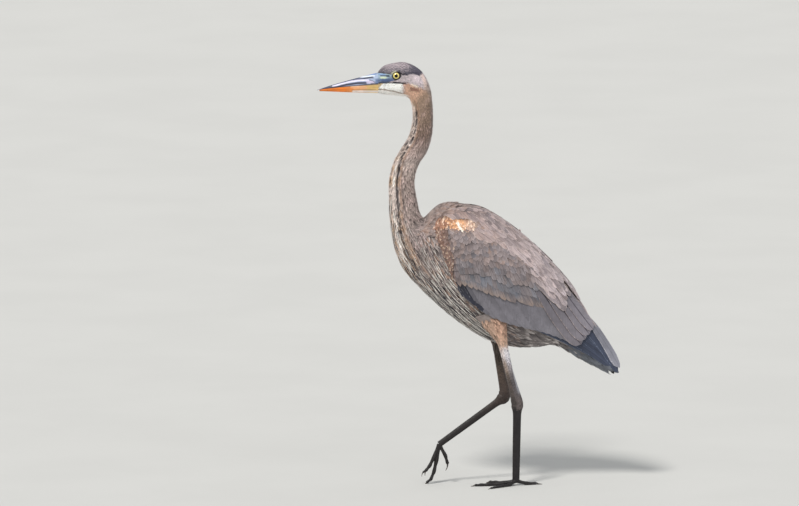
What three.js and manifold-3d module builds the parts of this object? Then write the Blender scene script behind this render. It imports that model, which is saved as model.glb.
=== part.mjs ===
// An immature great blue heron (Ardea herodias), life size, standing in mid-stride.
// Millimetres, +Z up. The bird faces -X and its left side is -Y. The floor is z = 0, and the
// origin is on the floor under the middle of the bird's box.
import * as THREE from "three";
import { mergeVertices } from "three/addons/utils/BufferGeometryUtils.js";
import Module from "manifold-3d";

const wasm = await Module();
wasm.setup();

// ---- Driving dimensions -------------------------------------------------------------------
const GAP = 0.35; // clearance between neighbouring pieces
const BODY_SIDES = 24; // corners of a body section
const BODY_STEPS = 2; // rings made for each section of the body
const TAIL_STEPS = 1;
const WING_ACROSS = 8; // strips from a wing's upper edge to its lower edge
const WING_STEPS = 1.5;
const WING_RIM = 1.2; // least thickness of a wing, at its edges
const LIMB_SIDES = 12;
const LIMB_STEPS = 2;
const TOE_SIDES = 7;

// Body sections from the face to the rump. Each is a plane cut through the bird: its upper
// point (bx, bz), its lower point (lx, lz) and its half width.
const BODY = [
  { bx: -208, bz: 941, lx: -208, lz: 895, half: 9.5 }, // face
  { bx: -193, bz: 956, lx: -188, lz: 891, half: 13.5 }, // lores
  { bx: -172, bz: 962, lx: -167, lz: 889, half: 17.5 }, // eye
  { bx: -148, bz: 964, lx: -149, lz: 887, half: 19.5 }, // crown
  { bx: -124, bz: 955, lx: -139, lz: 884, half: 20 },
  { bx: -104, bz: 938, lx: -134, lz: 879, half: 20 }, // nape
  { bx: -90, bz: 910, lx: -131, lz: 869, half: 20 }, // throat
  { bx: -84, bz: 875, lx: -128, lz: 851, half: 20 },
  { bx: -82, bz: 836, lx: -129, lz: 826, half: 20.5 }, // upper neck
  { bx: -85, bz: 796, lx: -137, lz: 796, half: 21.5 },
  { bx: -96, bz: 760, lx: -155, lz: 766, half: 23 }, // kink of the neck
  { bx: -115, bz: 730, lx: -172, lz: 735, half: 24 },
  { bx: -124, bz: 693, lx: -181, lz: 694, half: 26 },
  { bx: -119, bz: 655, lx: -181, lz: 644, half: 29 }, // lower neck
  { bx: -111, bz: 621, lx: -177, lz: 589, half: 35 },
  { bx: -98, bz: 611, lx: -167, lz: 539, half: 43 }, // neck meets the mantle
  { bx: -66, bz: 640, lx: -148, lz: 495, half: 50 }, // shoulders
  { bx: -21, bz: 643, lx: -111, lz: 452, half: 57 },
  { bx: 31, bz: 624, lx: -66, lz: 408, half: 61 }, // breast
  { bx: 84, bz: 583, lx: -14, lz: 366, half: 61 },
  { bx: 132, bz: 534, lx: 40, lz: 332, half: 56 }, // belly
  { bx: 176, bz: 484, lx: 97, lz: 314, half: 46 },
  { bx: 208, bz: 436, lx: 151, lz: 312, half: 34 }, // vent
  { bx: 228, bz: 402, lx: 188, lz: 316, half: 26 },
];
// Where the body is parted: section numbers at the ends of each length.
const BODY_PARTS = {
  head: [0, 6],
  neck_upper: [6, 10],
  neck_middle: [10, 12.5],
  neck_lower: [12.5, 15],
  trunk: [15, 23],
};

// The tail and the covert feathers under it, from the rump to the tip.
const TAIL = [
  { bx: 229, bz: 398, lx: 190, lz: 315, half: 24 },
  { bx: 250, bz: 362, lx: 220, lz: 302, half: 25 },
  { bx: 284, bz: 325, lx: 254, lz: 281, half: 27 },
  { bx: 316, bz: 290, lx: 295, lz: 260, half: 28 },
  { bx: 336, bz: 267, lx: 323, lz: 246, half: 27 },
  { bx: 344, bz: 257, lx: 336, lz: 246, half: 22 },
];

// The folded left wing: sections from the bend of the wing to the primary tips. Each runs from
// its upper edge (ux, uz) at uy from the midline to its lower edge (lx, lz) at ly, bulging out
// to `out`, and is `thick` through the middle.
const WING = [
  { ux: -84, uz: 602, uy: 44, lx: -38, lz: 467, ly: 56, out: 60, thick: 12 },
  { ux: -64, uz: 621, uy: 43, lx: -21, lz: 448, ly: 63, out: 72, thick: 18 },
  { ux: -28, uz: 632, uy: 36, lx: 2, lz: 428, ly: 66, out: 80, thick: 26 },
  { ux: 22, uz: 631, uy: 24, lx: 36, lz: 400, ly: 66, out: 84, thick: 30 },
  { ux: 70, uz: 607, uy: 10, lx: 74, lz: 375, ly: 64, out: 84, thick: 31 },
  { ux: 119, uz: 571, uy: 2, lx: 110, lz: 360, ly: 60, out: 79, thick: 31 },
  { ux: 166, uz: 528, uy: 1, lx: 144, lz: 347, ly: 54, out: 71, thick: 30 },
  { ux: 210, uz: 482, uy: 1, lx: 180, lz: 335, ly: 48, out: 61, thick: 26 },
  { ux: 247, uz: 432, uy: 1, lx: 212, lz: 321, ly: 42, out: 51, thick: 19 },
  { ux: 277, uz: 388, uy: 1, lx: 243, lz: 306, ly: 37, out: 43, thick: 12 },
  { ux: 304, uz: 350, uy: 2, lx: 274, lz: 290, ly: 33, out: 37, thick: 8 },
  { ux: 325, uz: 314, uy: 6, lx: 302, lz: 273, ly: 30, out: 32, thick: 6 },
  { ux: 337, uz: 284, uy: 12, lx: 325, lz: 255, ly: 25, out: 27, thick: 4 },
];

// The bill: its ends, the height of its tip, and how far its upper line, the line of the gape
// and its lower line rise or drop towards the face.
const BILL = {
  baseX: -208,
  tipX: -344,
  tipZ: 903,
  culmenRise: 38,
  gapeRise: 13.5,
  keelTip: 1.5,
  keelBelly: 1.5,
  keelDrop: 6.5,
  tipHalf: 1,
  widen: 8.3,
  lowerShort: 6, // the lower mandible ends this far behind the tip
};
// An eyeball: its centre (y from the midline), its radius and how far inside it is cut flat.
const EYE = { x: -166.3, y: 11, z: 935.7, radius: 9.5, plug: 2 };

// How far each bone of a toe drops below level, in degrees, on the foot that is set down flat
// and on the one that only touches with the tip of its middle toe.
const FLAT_DROP = { 1: [16, 4], 2: [13, 4, 4], 3: [12, 4, 4, 4], 4: [19, 4, 4, 4, 4] };
const TIPTOE_DROP = {
  1: [62, 74],
  2: [66, 62, 50],
  3: [80, 78, 68, 40],
  4: [68, 66, 60, 52, 42],
};
const FLAT_SPLAY = { 1: 172, 2: 34, 3: -2, 4: -34 }; // from straight ahead towards the midline
const TIPTOE_SPLAY = { 1: 170, 2: 13, 3: 1, 4: -12 };

// Legs. `side` is -1 for the left leg (the standing one) and +1 for the right (the forward one).
// Stations run down the limb: centre x, distance y from the midline, z, half depth fore and
// aft, half width across. `shaft` is the half depth of the tarsus.
const LEGS = {
  left: {
    side: -1,
    thigh: [
      { x: 40, y: 46, z: 404, deep: 38, wide: 17 },
      { x: 57, y: 44, z: 366, deep: 24, wide: 15 },
      { x: 69, y: 41, z: 335, deep: 12.7, wide: 11.5 },
      { x: 74.5, y: 39, z: 312, deep: 9.5, wide: 9 },
    ],
    shank: [
      { x: 74.8, y: 39, z: 311, deep: 9.2, wide: 8.4 },
      { x: 84.8, y: 36, z: 269, deep: 9, wide: 7.4 },
      { x: 95.4, y: 31, z: 230, deep: 10.3, wide: 7.2 },
      { x: 101.6, y: 29, z: 207, deep: 12, wide: 8.4 },
    ],
    ankle: { x: 106, y: 26, z: 188 },
    shaft: 8.8,
    foot: { x: 104, y: 17, z: 10.5 },
    drops: FLAT_DROP,
    splays: FLAT_SPLAY,
  },
  right: {
    side: 1,
    thigh: [
      { x: 30, y: 46, z: 404, deep: 38, wide: 17 },
      { x: 47, y: 44, z: 366, deep: 25, wide: 15 },
      { x: 62, y: 41, z: 332, deep: 14, wide: 11.5 },
      { x: 67, y: 38, z: 308, deep: 9.5, wide: 9 },
    ],
    shank: [
      { x: 67.2, y: 38, z: 307, deep: 9.2, wide: 8.4 },
      { x: 73, y: 36, z: 268, deep: 9, wide: 7.4 },
      { x: 80, y: 33, z: 231, deep: 10.5, wide: 7.2 },
      { x: 83.8, y: 31, z: 211, deep: 12, wide: 8.4 },
    ],
    ankle: { x: 82.5, y: 30, z: 194 },
    shaft: 7.6,
    foot: { x: -65, y: 25, z: 89.5 },
    drops: TIPTOE_DROP,
    splays: TIPTOE_SPLAY,
  },
};

// The knob of the ankle above the joint, from the shank's end to the joint.
const KNOB = [
  { share: 0, deep: 12, wide: 8 },
  { share: 0.5, deep: 13, wide: 8.8 },
];
// The tarsus from the joint of the ankle to the toes, `shaft` being its half depth midway.
const tarsusRows = (shaft) => [
  { share: 0, deep: 13.2, wide: 8.8 },
  { share: 0.045, deep: 13.2, wide: 8.8 },
  { share: 0.1, deep: shaft + 1.6, wide: 7 },
  { share: 0.2, deep: shaft + 0.4, wide: 5.8 },
  { share: 0.6, deep: shaft, wide: 5.2 },
  { share: 0.9, deep: shaft - 0.6, wide: 5.2 },
  { share: 1, deep: shaft - 0.6, wide: 6 },
];

// Toes by number, 1 being the hind toe: `length` is without its claw, and `bones` are the
// lengths' shares between the pads.
const TOES = {
  1: { length: 46, claw: 19, thick: 4.6, bones: [0.62, 0.38] },
  2: { length: 66, claw: 13, thick: 4.8, bones: [0.5, 0.3, 0.2] },
  3: { length: 92, claw: 14, thick: 5.2, bones: [0.4, 0.28, 0.2, 0.12] },
  4: { length: 74, claw: 12, thick: 4.6, bones: [0.3, 0.25, 0.2, 0.14, 0.11] },
};
const TOE_SQUASH = 0.78; // a toe's underside is flat at this share of its half thickness

// ---- Solids from sections -----------------------------------------------------------------
function solidFrom(positions, faces) {
  const geometry = new THREE.BufferGeometry();
  geometry.setAttribute("position", new THREE.Float32BufferAttribute(positions.flat(), 3));
  geometry.setIndex(faces.flat());
  const merged = mergeVertices(geometry, 1e-3);
  const solid = new wasm.Manifold(
    new wasm.Mesh({
      numProp: 3,
      vertProperties: merged.attributes.position.array,
      triVerts: new Uint32Array(merged.index.array),
    }),
  );
  return solid.volume() < 0 ? solidFrom(positions, faces.map(([a, b, c]) => [a, c, b])) : solid;
}

// A closed solid through rings of points that all have the same count.
function loft(rings) {
  const count = rings[0].length;
  const middle = (ring) => [0, 1, 2].map((k) => ring.reduce((sum, p) => sum + p[k], 0) / count);
  const positions = [...rings.flat(), middle(rings[0]), middle(rings.at(-1))];
  const faces = [];
  for (let r = 0; r + 1 < rings.length; r++) {
    for (let i = 0; i < count; i++) {
      const j = (i + 1) % count;
      const [a, b] = [r * count + i, r * count + j];
      faces.push([a, b, a + count], [b, b + count, a + count]);
    }
  }
  const last = (rings.length - 1) * count;
  for (let i = 0; i < count; i++) {
    const j = (i + 1) % count;
    faces.push([j, i, rings.length * count], [last + i, last + j, rings.length * count + 1]);
  }
  return solidFrom(positions, faces);
}

// Every number of the stations, smoothly in between them, at place t counted in stations.
function between(stations, t) {
  const i = Math.min(Math.floor(t), stations.length - 2);
  const at = (k) => stations[THREE.MathUtils.clamp(k, 0, stations.length - 1)];
  const f = t - i;
  const blend = (p, q, r, s) =>
    q + 0.5 * f * (r - p + f * (2 * p - 5 * q + 4 * r - s + f * (3 * (q - r) + s - p)));
  return Object.fromEntries(
    Object.keys(stations[0]).map((k) => [k, blend(at(i - 1)[k], at(i)[k], at(i + 1)[k], at(i + 2)[k])]),
  );
}

function steps(from, to, perStation) {
  const n = Math.max(1, Math.round((to - from) * perStation));
  return Array.from({ length: n + 1 }, (_, k) => from + ((to - from) * k) / n);
}

// An oval ring across the midline between a section's upper and lower points, grown all round.
function bodyRing(section, grow = 0) {
  const { bx, bz, lx, lz, half } = section;
  const length = Math.hypot(bx - lx, bz - lz);
  const reach = length / 2 + grow;
  const [ax, az] = [(bx - lx) / length, (bz - lz) / length];
  return Array.from({ length: BODY_SIDES }, (_, i) => {
    const turn = (2 * Math.PI * i) / BODY_SIDES;
    const along = reach * Math.cos(turn);
    return [(bx + lx) / 2 + ax * along, (half + grow) * Math.sin(turn), (bz + lz) / 2 + az * along];
  });
}

function bodyLength(stations, from, to, perStation, grow = 0) {
  return loft(steps(from, to, perStation).map((t) => bodyRing(between(stations, t), grow)));
}

// A ring of a folded wing: the outer face from the upper edge to the lower, then the inner face,
// which is set a little lower at the top so that the edge there is not a sliver.
const WING_FACE = { early: 0.8, flat: 0.75, inside: 0.5, lower: 1.5, midline: 0.4 };
function wingRing(section, side) {
  const { ux, uz, uy, lx, lz, ly, out, thick } = section;
  const outer = [];
  const inner = [];
  for (let i = 0; i <= WING_ACROSS; i++) {
    const share = i / WING_ACROSS;
    const bulge = Math.sin(Math.PI * share ** WING_FACE.early) ** WING_FACE.flat;
    const y = uy + (ly - uy) * share + (out - (uy + ly) / 2) * bulge;
    const x = ux + (lx - ux) * share;
    const z = uz + (lz - uz) * share;
    outer.push([x, side * y, z]);
    const depth = WING_RIM + thick * Math.sin(Math.PI * share) ** WING_FACE.inside;
    const drop = share < 0.5 ? WING_FACE.lower : 0;
    inner.push([x, side * Math.max(y - depth, WING_FACE.midline), z - drop]);
  }
  return [...outer, ...inner.reverse()];
}

// A tube down a limb, oval across, from stations with `deep` (fore and aft) and `wide` (across).
function limb(stations, side, perStation, sides, grow = 0) {
  const places = steps(0, stations.length - 1, perStation).map((t) => between(stations, t));
  return loft(
    places.map((p, k) => {
      const a = places[Math.max(k - 1, 0)];
      const b = places[Math.min(k + 1, places.length - 1)];
      const way = new THREE.Vector3(b.x - a.x, side * (b.y - a.y), b.z - a.z).normalize();
      const fore = new THREE.Vector3(0, 1, 0).cross(way).normalize();
      const across = way.clone().cross(fore);
      return Array.from({ length: sides }, (_, i) => {
        const turn = (2 * Math.PI * i) / sides;
        const point = new THREE.Vector3(p.x, side * p.y, p.z)
          .addScaledVector(fore, (p.deep + grow) * Math.cos(turn))
          .addScaledVector(across, (p.wide + grow) * Math.sin(turn));
        return point.toArray();
      });
    }),
  );
}

// ---- Bill and eyes ------------------------------------------------------------------------
// Heights and half width by share s of the way from the bill's tip to its base.
const culmenZ = (s) => BILL.tipZ + BILL.culmenRise * s ** 0.86;
const gapeZ = (s) => BILL.tipZ + BILL.gapeRise * s ** 0.8;
const keelZ = (s) =>
  BILL.tipZ - BILL.keelTip - BILL.keelBelly * Math.sin(Math.PI * s) - BILL.keelDrop * s ** 1.6;
const billHalf = (s) => BILL.tipHalf + BILL.widen * s ** 0.85;

// One mandible: flat where it meets the other, keeled on its far side.
const MANDIBLE_SIDES = 12;
const MANDIBLE_RINGS = 10;
const MANDIBLE_LEAST = 0.6; // least height, at the tip
function mandible(farZ, sign, tipX) {
  return loft(
    steps(0, 1, MANDIBLE_RINGS).map((share) => {
      const x = THREE.MathUtils.lerp(tipX, BILL.baseX - GAP, share);
      const s = (x - BILL.tipX) / (BILL.baseX - BILL.tipX);
      const meet = gapeZ(s) + (sign * GAP) / 2;
      const height = Math.max(MANDIBLE_LEAST, Math.abs(farZ(s) - meet));
      return Array.from({ length: MANDIBLE_SIDES + 1 }, (_, i) => {
        const turn = (Math.PI * i) / MANDIBLE_SIDES;
        const across = billHalf(s) * Math.sign(Math.cos(turn)) * Math.abs(Math.cos(turn)) ** 1.25;
        return [x, across, meet + sign * height * Math.sin(turn) ** 0.8];
      });
    }),
  );
}

// A ball cut flat at its inner side, on the side of the head given.
const EYE_RINGS = 5;
const EYE_SIDES = 16;
function eyeball(side, grow = 0) {
  const radius = EYE.radius + grow;
  const from = EYE.plug - grow;
  const rim = Math.acos(from / radius);
  const profile = [new THREE.Vector2(0, from)];
  for (let i = 0; i <= EYE_RINGS; i++) {
    const turn = rim * (1 - i / EYE_RINGS);
    profile.push(new THREE.Vector2(radius * Math.sin(turn), radius * Math.cos(turn)));
  }
  profile.at(-1).x = 0;
  const geometry = new THREE.LatheGeometry(profile, EYE_SIDES);
  geometry.rotateX(side < 0 ? Math.PI : 0); // the lathe's axis is Y, out of the head
  geometry.translate(EYE.x, side * EYE.y, EYE.z);
  return fromGeometry(geometry);
}

function fromGeometry(geometry) {
  geometry.deleteAttribute("normal");
  geometry.deleteAttribute("uv");
  const merged = mergeVertices(geometry, 1e-3);
  const p = merged.attributes.position;
  const points = Array.from({ length: p.count }, (_, i) => [p.getX(i), p.getY(i), p.getZ(i)]);
  const index = Array.from(merged.index.array);
  const faces = [];
  for (let i = 0; i < index.length; i += 3) faces.push(index.slice(i, i + 3));
  return solidFrom(points, faces);
}

// ---- Feet ---------------------------------------------------------------------------------
const KNUCKLE = 1.06; // thickness at a toe's joints and between them
const BETWEEN_KNUCKLES = 0.92;
const TOE_TAPER = 0.1; // lost at each bone

// The points along a toe, from its base to its claw's tip, with the half thickness at each.
function toePath(number, joint, side, drops, splays) {
  const toe = TOES[number];
  const turn = THREE.MathUtils.degToRad(splays[number]);
  const way = new THREE.Vector3(-Math.cos(turn), -side * Math.sin(turn), 0);
  const point = new THREE.Vector3(joint.x, side * joint.y, joint.z);
  const stations = [{ point: point.clone(), thick: toe.thick * KNUCKLE }];
  toe.bones.forEach((share, k) => {
    const drop = THREE.MathUtils.degToRad(drops[number][k]);
    const step = way.clone().multiplyScalar(Math.cos(drop));
    step.z = -Math.sin(drop);
    const size = toe.thick * (1 - TOE_TAPER * (k + 1));
    for (const f of [0.5, 1]) {
      const knuckle = f === 1 ? KNUCKLE : BETWEEN_KNUCKLES;
      const at = point.clone().addScaledVector(step, share * toe.length * f);
      at.z = Math.max(at.z, TOE_SQUASH * size);
      stations.push({ point: at, thick: size * knuckle });
    }
    point.addScaledVector(step, share * toe.length);
    point.z = Math.max(point.z, TOE_SQUASH * size);
  });
  return { stations, way, drop: THREE.MathUtils.degToRad(drops[number].at(-1)), claw: toe.claw };
}

// A solid round a line of points with a half thickness at each, in the upright plane that runs
// the way `heading` points.
function roundChain(stations, heading) {
  const across = new THREE.Vector3(0, 0, 1).cross(heading).normalize();
  return loft(
    stations.map(({ point, thick }, k) => {
      const a = stations[Math.max(k - 1, 0)].point;
      const b = stations[Math.min(k + 1, stations.length - 1)].point;
      const up = b.clone().sub(a).normalize().cross(across);
      return Array.from({ length: TOE_SIDES }, (_, i) => {
        const turn = (2 * Math.PI * i) / TOE_SIDES;
        return point
          .clone()
          .addScaledVector(across, thick * Math.cos(turn))
          .addScaledVector(up, thick * Math.sin(turn))
          .toArray();
      });
    }),
  );
}

// A claw grows out of the end of its toe, `root` deep in it, and curves down: `bend` is the
// turn over its length, `base` and `taper` its half thickness as a share of the toe's.
const CLAW = { root: 3, bend: 0.5, rise: 0.8, base: 0.62, taper: 0.5, floor: 0.85 };
function clawSolid({ stations, way, drop, claw }, grow = 0) {
  const start = stations.at(-1);
  const places = [0, 0.3, 0.65, 1].map((f) => {
    const dip = drop + CLAW.bend * f;
    const along = (claw + CLAW.root) * f - CLAW.root + (f > 0 ? grow : -grow);
    const point = start.point.clone().addScaledVector(way, along * Math.cos(dip));
    point.z += CLAW.rise - along * Math.sin(dip);
    const thick = start.thick * (CLAW.base - CLAW.taper * f);
    point.z = Math.max(point.z, CLAW.floor * thick);
    return { point, thick: thick + grow };
  });
  return roundChain(places, way).trimByPlane([0, 0, 1], -grow);
}

function footSolids(leg, drops, splays, tarsus) {
  const paths = Object.keys(TOES).map((n) => toePath(n, leg.foot, leg.side, drops, splays));
  const toes = paths.map(({ stations, way }) => roundChain(stations, way).trimByPlane([0, 0, 1], 0));
  let foot = toes.reduce((whole, toe) => whole.add(toe));
  for (const path of paths) foot = foot.subtract(clawSolid(path, GAP));
  return { foot: foot.subtract(tarsus), claws: paths.map((path) => clawSolid(path)) };
}

// ---- The bird -----------------------------------------------------------------------------
const COLOURS = {
  head: 0x8c8589,
  bill_upper: 0x6a6e7c,
  bill_lower: 0xd58a3c,
  eye: 0xe2cf6a,
  neck: 0x8f7b70,
  trunk: 0x756e6b,
  tail: 0x6d6e74,
  wing: 0x77717a,
  thigh: 0xa9876c,
  shank: 0x7b7572,
  tarsus: 0x39343a,
  foot: 0x37332f,
  claw: 0x1d1b1b,
};

const bird = new THREE.Group();
bird.name = "heron";

function place(name, colour, solid) {
  const { vertProperties, triVerts } = solid.getMesh();
  const geometry = new THREE.BufferGeometry();
  geometry.setAttribute("position", new THREE.BufferAttribute(new Float32Array(vertProperties), 3));
  geometry.setIndex(new THREE.BufferAttribute(new Uint32Array(triVerts), 1));
  geometry.computeVertexNormals();
  const finish = { color: COLOURS[colour], roughness: colour === "eye" ? 0.1 : 0.75, metalness: 0 };
  const mesh = new THREE.Mesh(geometry, new THREE.MeshStandardMaterial(finish));
  mesh.name = name;
  bird.add(mesh);
  return solid;
}

// Part of a section number that makes half the gap between two lengths of the body.
const PART = 0.012;

const pieces = {};
for (const [name, [from, to]] of Object.entries(BODY_PARTS)) {
  const start = from === 0 ? 0 : from + PART;
  const end = to === BODY.length - 1 ? to : to - PART;
  pieces[name] = bodyLength(BODY, start, end, BODY_STEPS);
}
for (const side of [-1, 1]) pieces.head = pieces.head.subtract(eyeball(side, GAP));
for (const name of Object.keys(BODY_PARTS)) place(name, name.split("_")[0], pieces[name]);
place("eye_left", "eye", eyeball(-1));
place("eye_right", "eye", eyeball(1));
place("bill_upper", "bill_upper", mandible(culmenZ, 1, BILL.tipX));
place("bill_lower", "bill_lower", mandible(keelZ, -1, BILL.tipX + BILL.lowerShort));

place("tail", "tail", bodyLength(TAIL, 0, TAIL.length - 1, TAIL_STEPS));

const largest = (solid) => solid.decompose().sort((a, b) => b.volume() - a.volume())[0];
const TRUNK_FROM = 13; // the section from which the trunk's space is kept clear
const trunkSpace = bodyLength(BODY, TRUNK_FROM, BODY.length - 1, BODY_STEPS, GAP);
const tailSpace = bodyLength(TAIL, 0, TAIL.length - 1, TAIL_STEPS, GAP);

// A leg's stations on the line from one joint to the next.
function stationsOn(from, to, shares) {
  const on = (k, share) => THREE.MathUtils.lerp(from[k], to[k], share);
  return shares.map(({ share, deep, wide }) => ({
    x: on("x", share),
    y: on("y", share),
    z: on("z", share),
    deep,
    wide,
  }));
}

for (const [name, leg] of Object.entries(LEGS)) {
  const { side, ankle, foot, shaft } = leg;
  const places = steps(0, WING.length - 1, WING_STEPS);
  const wing = loft(places.map((t) => wingRing(between(WING, t), side)));
  place(`wing_${name}`, "wing", largest(wing.subtract(trunkSpace).subtract(tailSpace)));

  const thigh = limb(leg.thigh, side, LIMB_STEPS, LIMB_SIDES);
  place(`thigh_${name}`, "thigh", largest(thigh.subtract(trunkSpace).subtract(wing)));
  const shankEnd = leg.shank.at(-1);
  const shin = [...stationsOn(shankEnd, ankle, KNOB), ...stationsOn(ankle, foot, tarsusRows(shaft))];
  const tarsusSpace = limb(shin, side, 1, LIMB_SIDES, GAP);
  place(`shank_${name}`, "shank", limb(leg.shank, side, LIMB_STEPS, LIMB_SIDES).subtract(tarsusSpace));
  place(`tarsus_${name}`, "tarsus", limb(shin, side, 1, LIMB_SIDES));

  const { foot: toes, claws } = footSolids(leg, leg.drops, leg.splays, tarsusSpace);
  place(`foot_${name}`, "foot", largest(toes));
  claws.forEach((claw, k) => place(`claw_${name}_${k + 1}`, "claw", claw));
}

export default bird;
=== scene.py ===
# The looks of a young great blue heron in mid-stride. Metres, +Z up; the bird faces -X and its left
# side is -Y, as in the CAD, whose section tables are repeated here.
import math

import bmesh
import bpy
import numpy as np
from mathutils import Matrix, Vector
from mathutils.kdtree import KDTree


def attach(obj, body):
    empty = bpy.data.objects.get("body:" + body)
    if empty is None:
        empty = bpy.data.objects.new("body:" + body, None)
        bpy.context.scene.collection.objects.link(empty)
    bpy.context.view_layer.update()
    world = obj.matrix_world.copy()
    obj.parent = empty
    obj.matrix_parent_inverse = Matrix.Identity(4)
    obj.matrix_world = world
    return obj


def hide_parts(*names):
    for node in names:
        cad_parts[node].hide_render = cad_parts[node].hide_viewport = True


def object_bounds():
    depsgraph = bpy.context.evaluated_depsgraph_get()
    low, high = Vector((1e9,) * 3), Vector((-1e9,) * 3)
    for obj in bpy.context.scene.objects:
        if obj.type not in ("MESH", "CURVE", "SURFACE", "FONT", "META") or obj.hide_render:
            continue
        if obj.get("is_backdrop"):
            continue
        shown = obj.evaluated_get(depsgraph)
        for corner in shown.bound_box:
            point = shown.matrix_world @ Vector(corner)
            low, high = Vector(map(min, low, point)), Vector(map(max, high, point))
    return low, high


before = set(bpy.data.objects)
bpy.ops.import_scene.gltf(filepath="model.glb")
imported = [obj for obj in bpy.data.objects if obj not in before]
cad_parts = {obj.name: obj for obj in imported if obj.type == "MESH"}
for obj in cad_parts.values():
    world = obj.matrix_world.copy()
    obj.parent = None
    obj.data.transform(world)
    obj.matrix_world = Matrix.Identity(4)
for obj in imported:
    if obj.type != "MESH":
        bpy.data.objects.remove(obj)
CAD_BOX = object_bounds()
MM = 0.001
PI = math.pi

# ---- The CAD's driving tables, in millimetres ---------------------------------------------
# Body and tail sections: upper point x, z, lower point x, z, half width. Section 0 is at the base of
# the bill, 6 at the rear of the head, 12 at the kink of the neck, 15 at the shoulders, 23 at the root
# of the tail. Places in between are fractions, as in body_place and in all that follows.
BODY = MM * np.array([
    (-208, 941, -208, 895, 9.5), (-193, 956, -188, 891, 13.5), (-172, 962, -167, 889, 17.5),
    (-148, 964, -149, 887, 19.5), (-124, 955, -139, 884, 20), (-104, 938, -134, 879, 20),
    (-90, 910, -131, 869, 20), (-84, 875, -128, 851, 20), (-82, 836, -129, 826, 20.5),
    (-85, 796, -137, 796, 21.5), (-96, 760, -155, 766, 23), (-115, 730, -172, 735, 24),
    (-124, 693, -181, 694, 26), (-119, 655, -181, 644, 29), (-111, 621, -177, 589, 35),
    (-98, 611, -167, 539, 43), (-66, 640, -148, 495, 50), (-21, 643, -111, 452, 57),
    (31, 624, -66, 408, 61), (84, 583, -14, 366, 61), (132, 534, 40, 332, 56),
    (176, 484, 97, 314, 46), (208, 436, 151, 312, 34), (228, 402, 188, 316, 26),
    (250, 362, 220, 302, 25), (284, 325, 254, 281, 27), (316, 290, 295, 260, 28),
    (336, 267, 323, 246, 27), (344, 257, 336, 246, 22),
])
# Folded wing stations: upper edge x, z, y, lower edge x, z, y, outward bulge, thickness. Station 0 is
# the bend of the wing and the last one its tip.
WING = MM * np.array([
    (-84, 602, 44, -38, 467, 56, 60, 12), (-64, 621, 43, -21, 448, 63, 72, 18),
    (-28, 632, 36, 2, 428, 66, 80, 26), (22, 631, 24, 36, 400, 66, 84, 30),
    (70, 607, 10, 74, 375, 64, 84, 31), (119, 571, 2, 110, 360, 60, 79, 31),
    (166, 528, 1, 144, 347, 54, 71, 30), (210, 482, 1, 180, 335, 48, 61, 26),
    (247, 432, 1, 212, 321, 42, 51, 19), (277, 388, 1, 243, 306, 37, 43, 12),
    (304, 350, 2, 274, 290, 33, 37, 8), (325, 314, 6, 302, 273, 30, 32, 6),
    (337, 284, 12, 325, 255, 25, 27, 4),
])
# Leg stations: x, y from the midline, z, half depth fore and aft, half width.
THIGH = {"left": [(40, 46, 404, 38, 17), (57, 44, 366, 24, 15), (69, 41, 335, 12.7, 11.5),
                  (74.5, 39, 312, 9.5, 9)],
         "right": [(30, 46, 404, 38, 17), (47, 44, 366, 25, 15), (62, 41, 332, 14, 11.5),
                   (67, 38, 308, 9.5, 9)]}
SHANK = {"left": [(84.8, 36, 269, 9, 7.4), (95.4, 31, 230, 10.3, 7.2), (101.6, 29, 207, 12, 8.4)],
         "right": [(73, 36, 268, 9, 7.4), (80, 33, 231, 10.5, 7.2), (83.8, 31, 211, 12, 8.4)]}
KNOB = (13, 8.8)
ANKLE = {"left": (106, 26, 188), "right": (82.5, 30, 194)}
FOOT = {"left": (104, 17, 10.5), "right": (-65, 25, 89.5)}
SHAFT = {"left": 8.8, "right": 7.6}
SIDES = {"left": -1, "right": 1}
TAIL_TIP = len(BODY) - 1
WING_START = 15.0  # the body section beside the wing's first station
# Toes: length, claw length, half thickness, shares of the bones.
TOES = {1: (46, 19, 4.6, (0.62, 0.38)), 2: (66, 13, 4.8, (0.5, 0.3, 0.2)),
        3: (92, 14, 5.2, (0.4, 0.28, 0.2, 0.12)), 4: (74, 12, 4.6, (0.3, 0.25, 0.2, 0.14, 0.11))}
DROPS = {"left": {1: (16, 4), 2: (13, 4, 4), 3: (12, 4, 4, 4), 4: (19, 4, 4, 4, 4)},
         "right": {1: (62, 74), 2: (66, 62, 50), 3: (80, 78, 68, 40), 4: (68, 66, 60, 52, 42)}}
SPLAYS = {"left": {1: 172, 2: 34, 3: -2, 4: -34}, "right": {1: 170, 2: 13, 3: 1, 4: -12}}
BILL = dict(base=-0.208, tip=-0.344, z=0.903)
EYE = dict(x=-0.1663, y=0.011, z=0.9357, radius=0.0095)

# ---- Small helpers ------------------------------------------------------------------------
rng = np.random.default_rng(41)


def between(table, t):
    """Every column of a station table, smoothly in between its rows, at places t."""
    last = len(table) - 1
    i = np.clip(np.floor(t).astype(int), 0, last - 1)
    f = (t - i)[:, None]
    p, q, r, s = (table[np.clip(i + k, 0, last)] for k in (-1, 0, 1, 2))
    return q + 0.5 * f * (r - p + f * (2 * p - 5 * q + 4 * r - s + f * (3 * (q - r) + s - p)))


def ss(low, high, x):
    """Smooth step from 0 at low to 1 at high."""
    f = np.clip((np.asarray(x, float) - low) / (high - low), 0, 1)
    return f * f * (3 - 2 * f)


def srgb(*rgb):
    """Linear light from 8-bit screen values."""
    c = np.array(rgb, float) / 255
    return np.where(c <= 0.04045, c / 12.92, ((c + 0.055) / 1.055) ** 2.4)


def unit(v):
    return v / np.maximum(np.linalg.norm(v, axis=-1, keepdims=True), 1e-12)


def dot(a, b):
    return np.sum(a * b, axis=-1)


def arc_length(points):
    """How far along a line of points each of them lies."""
    return np.concatenate([[0], np.cumsum(np.linalg.norm(np.diff(points, axis=0), axis=1))])


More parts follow.
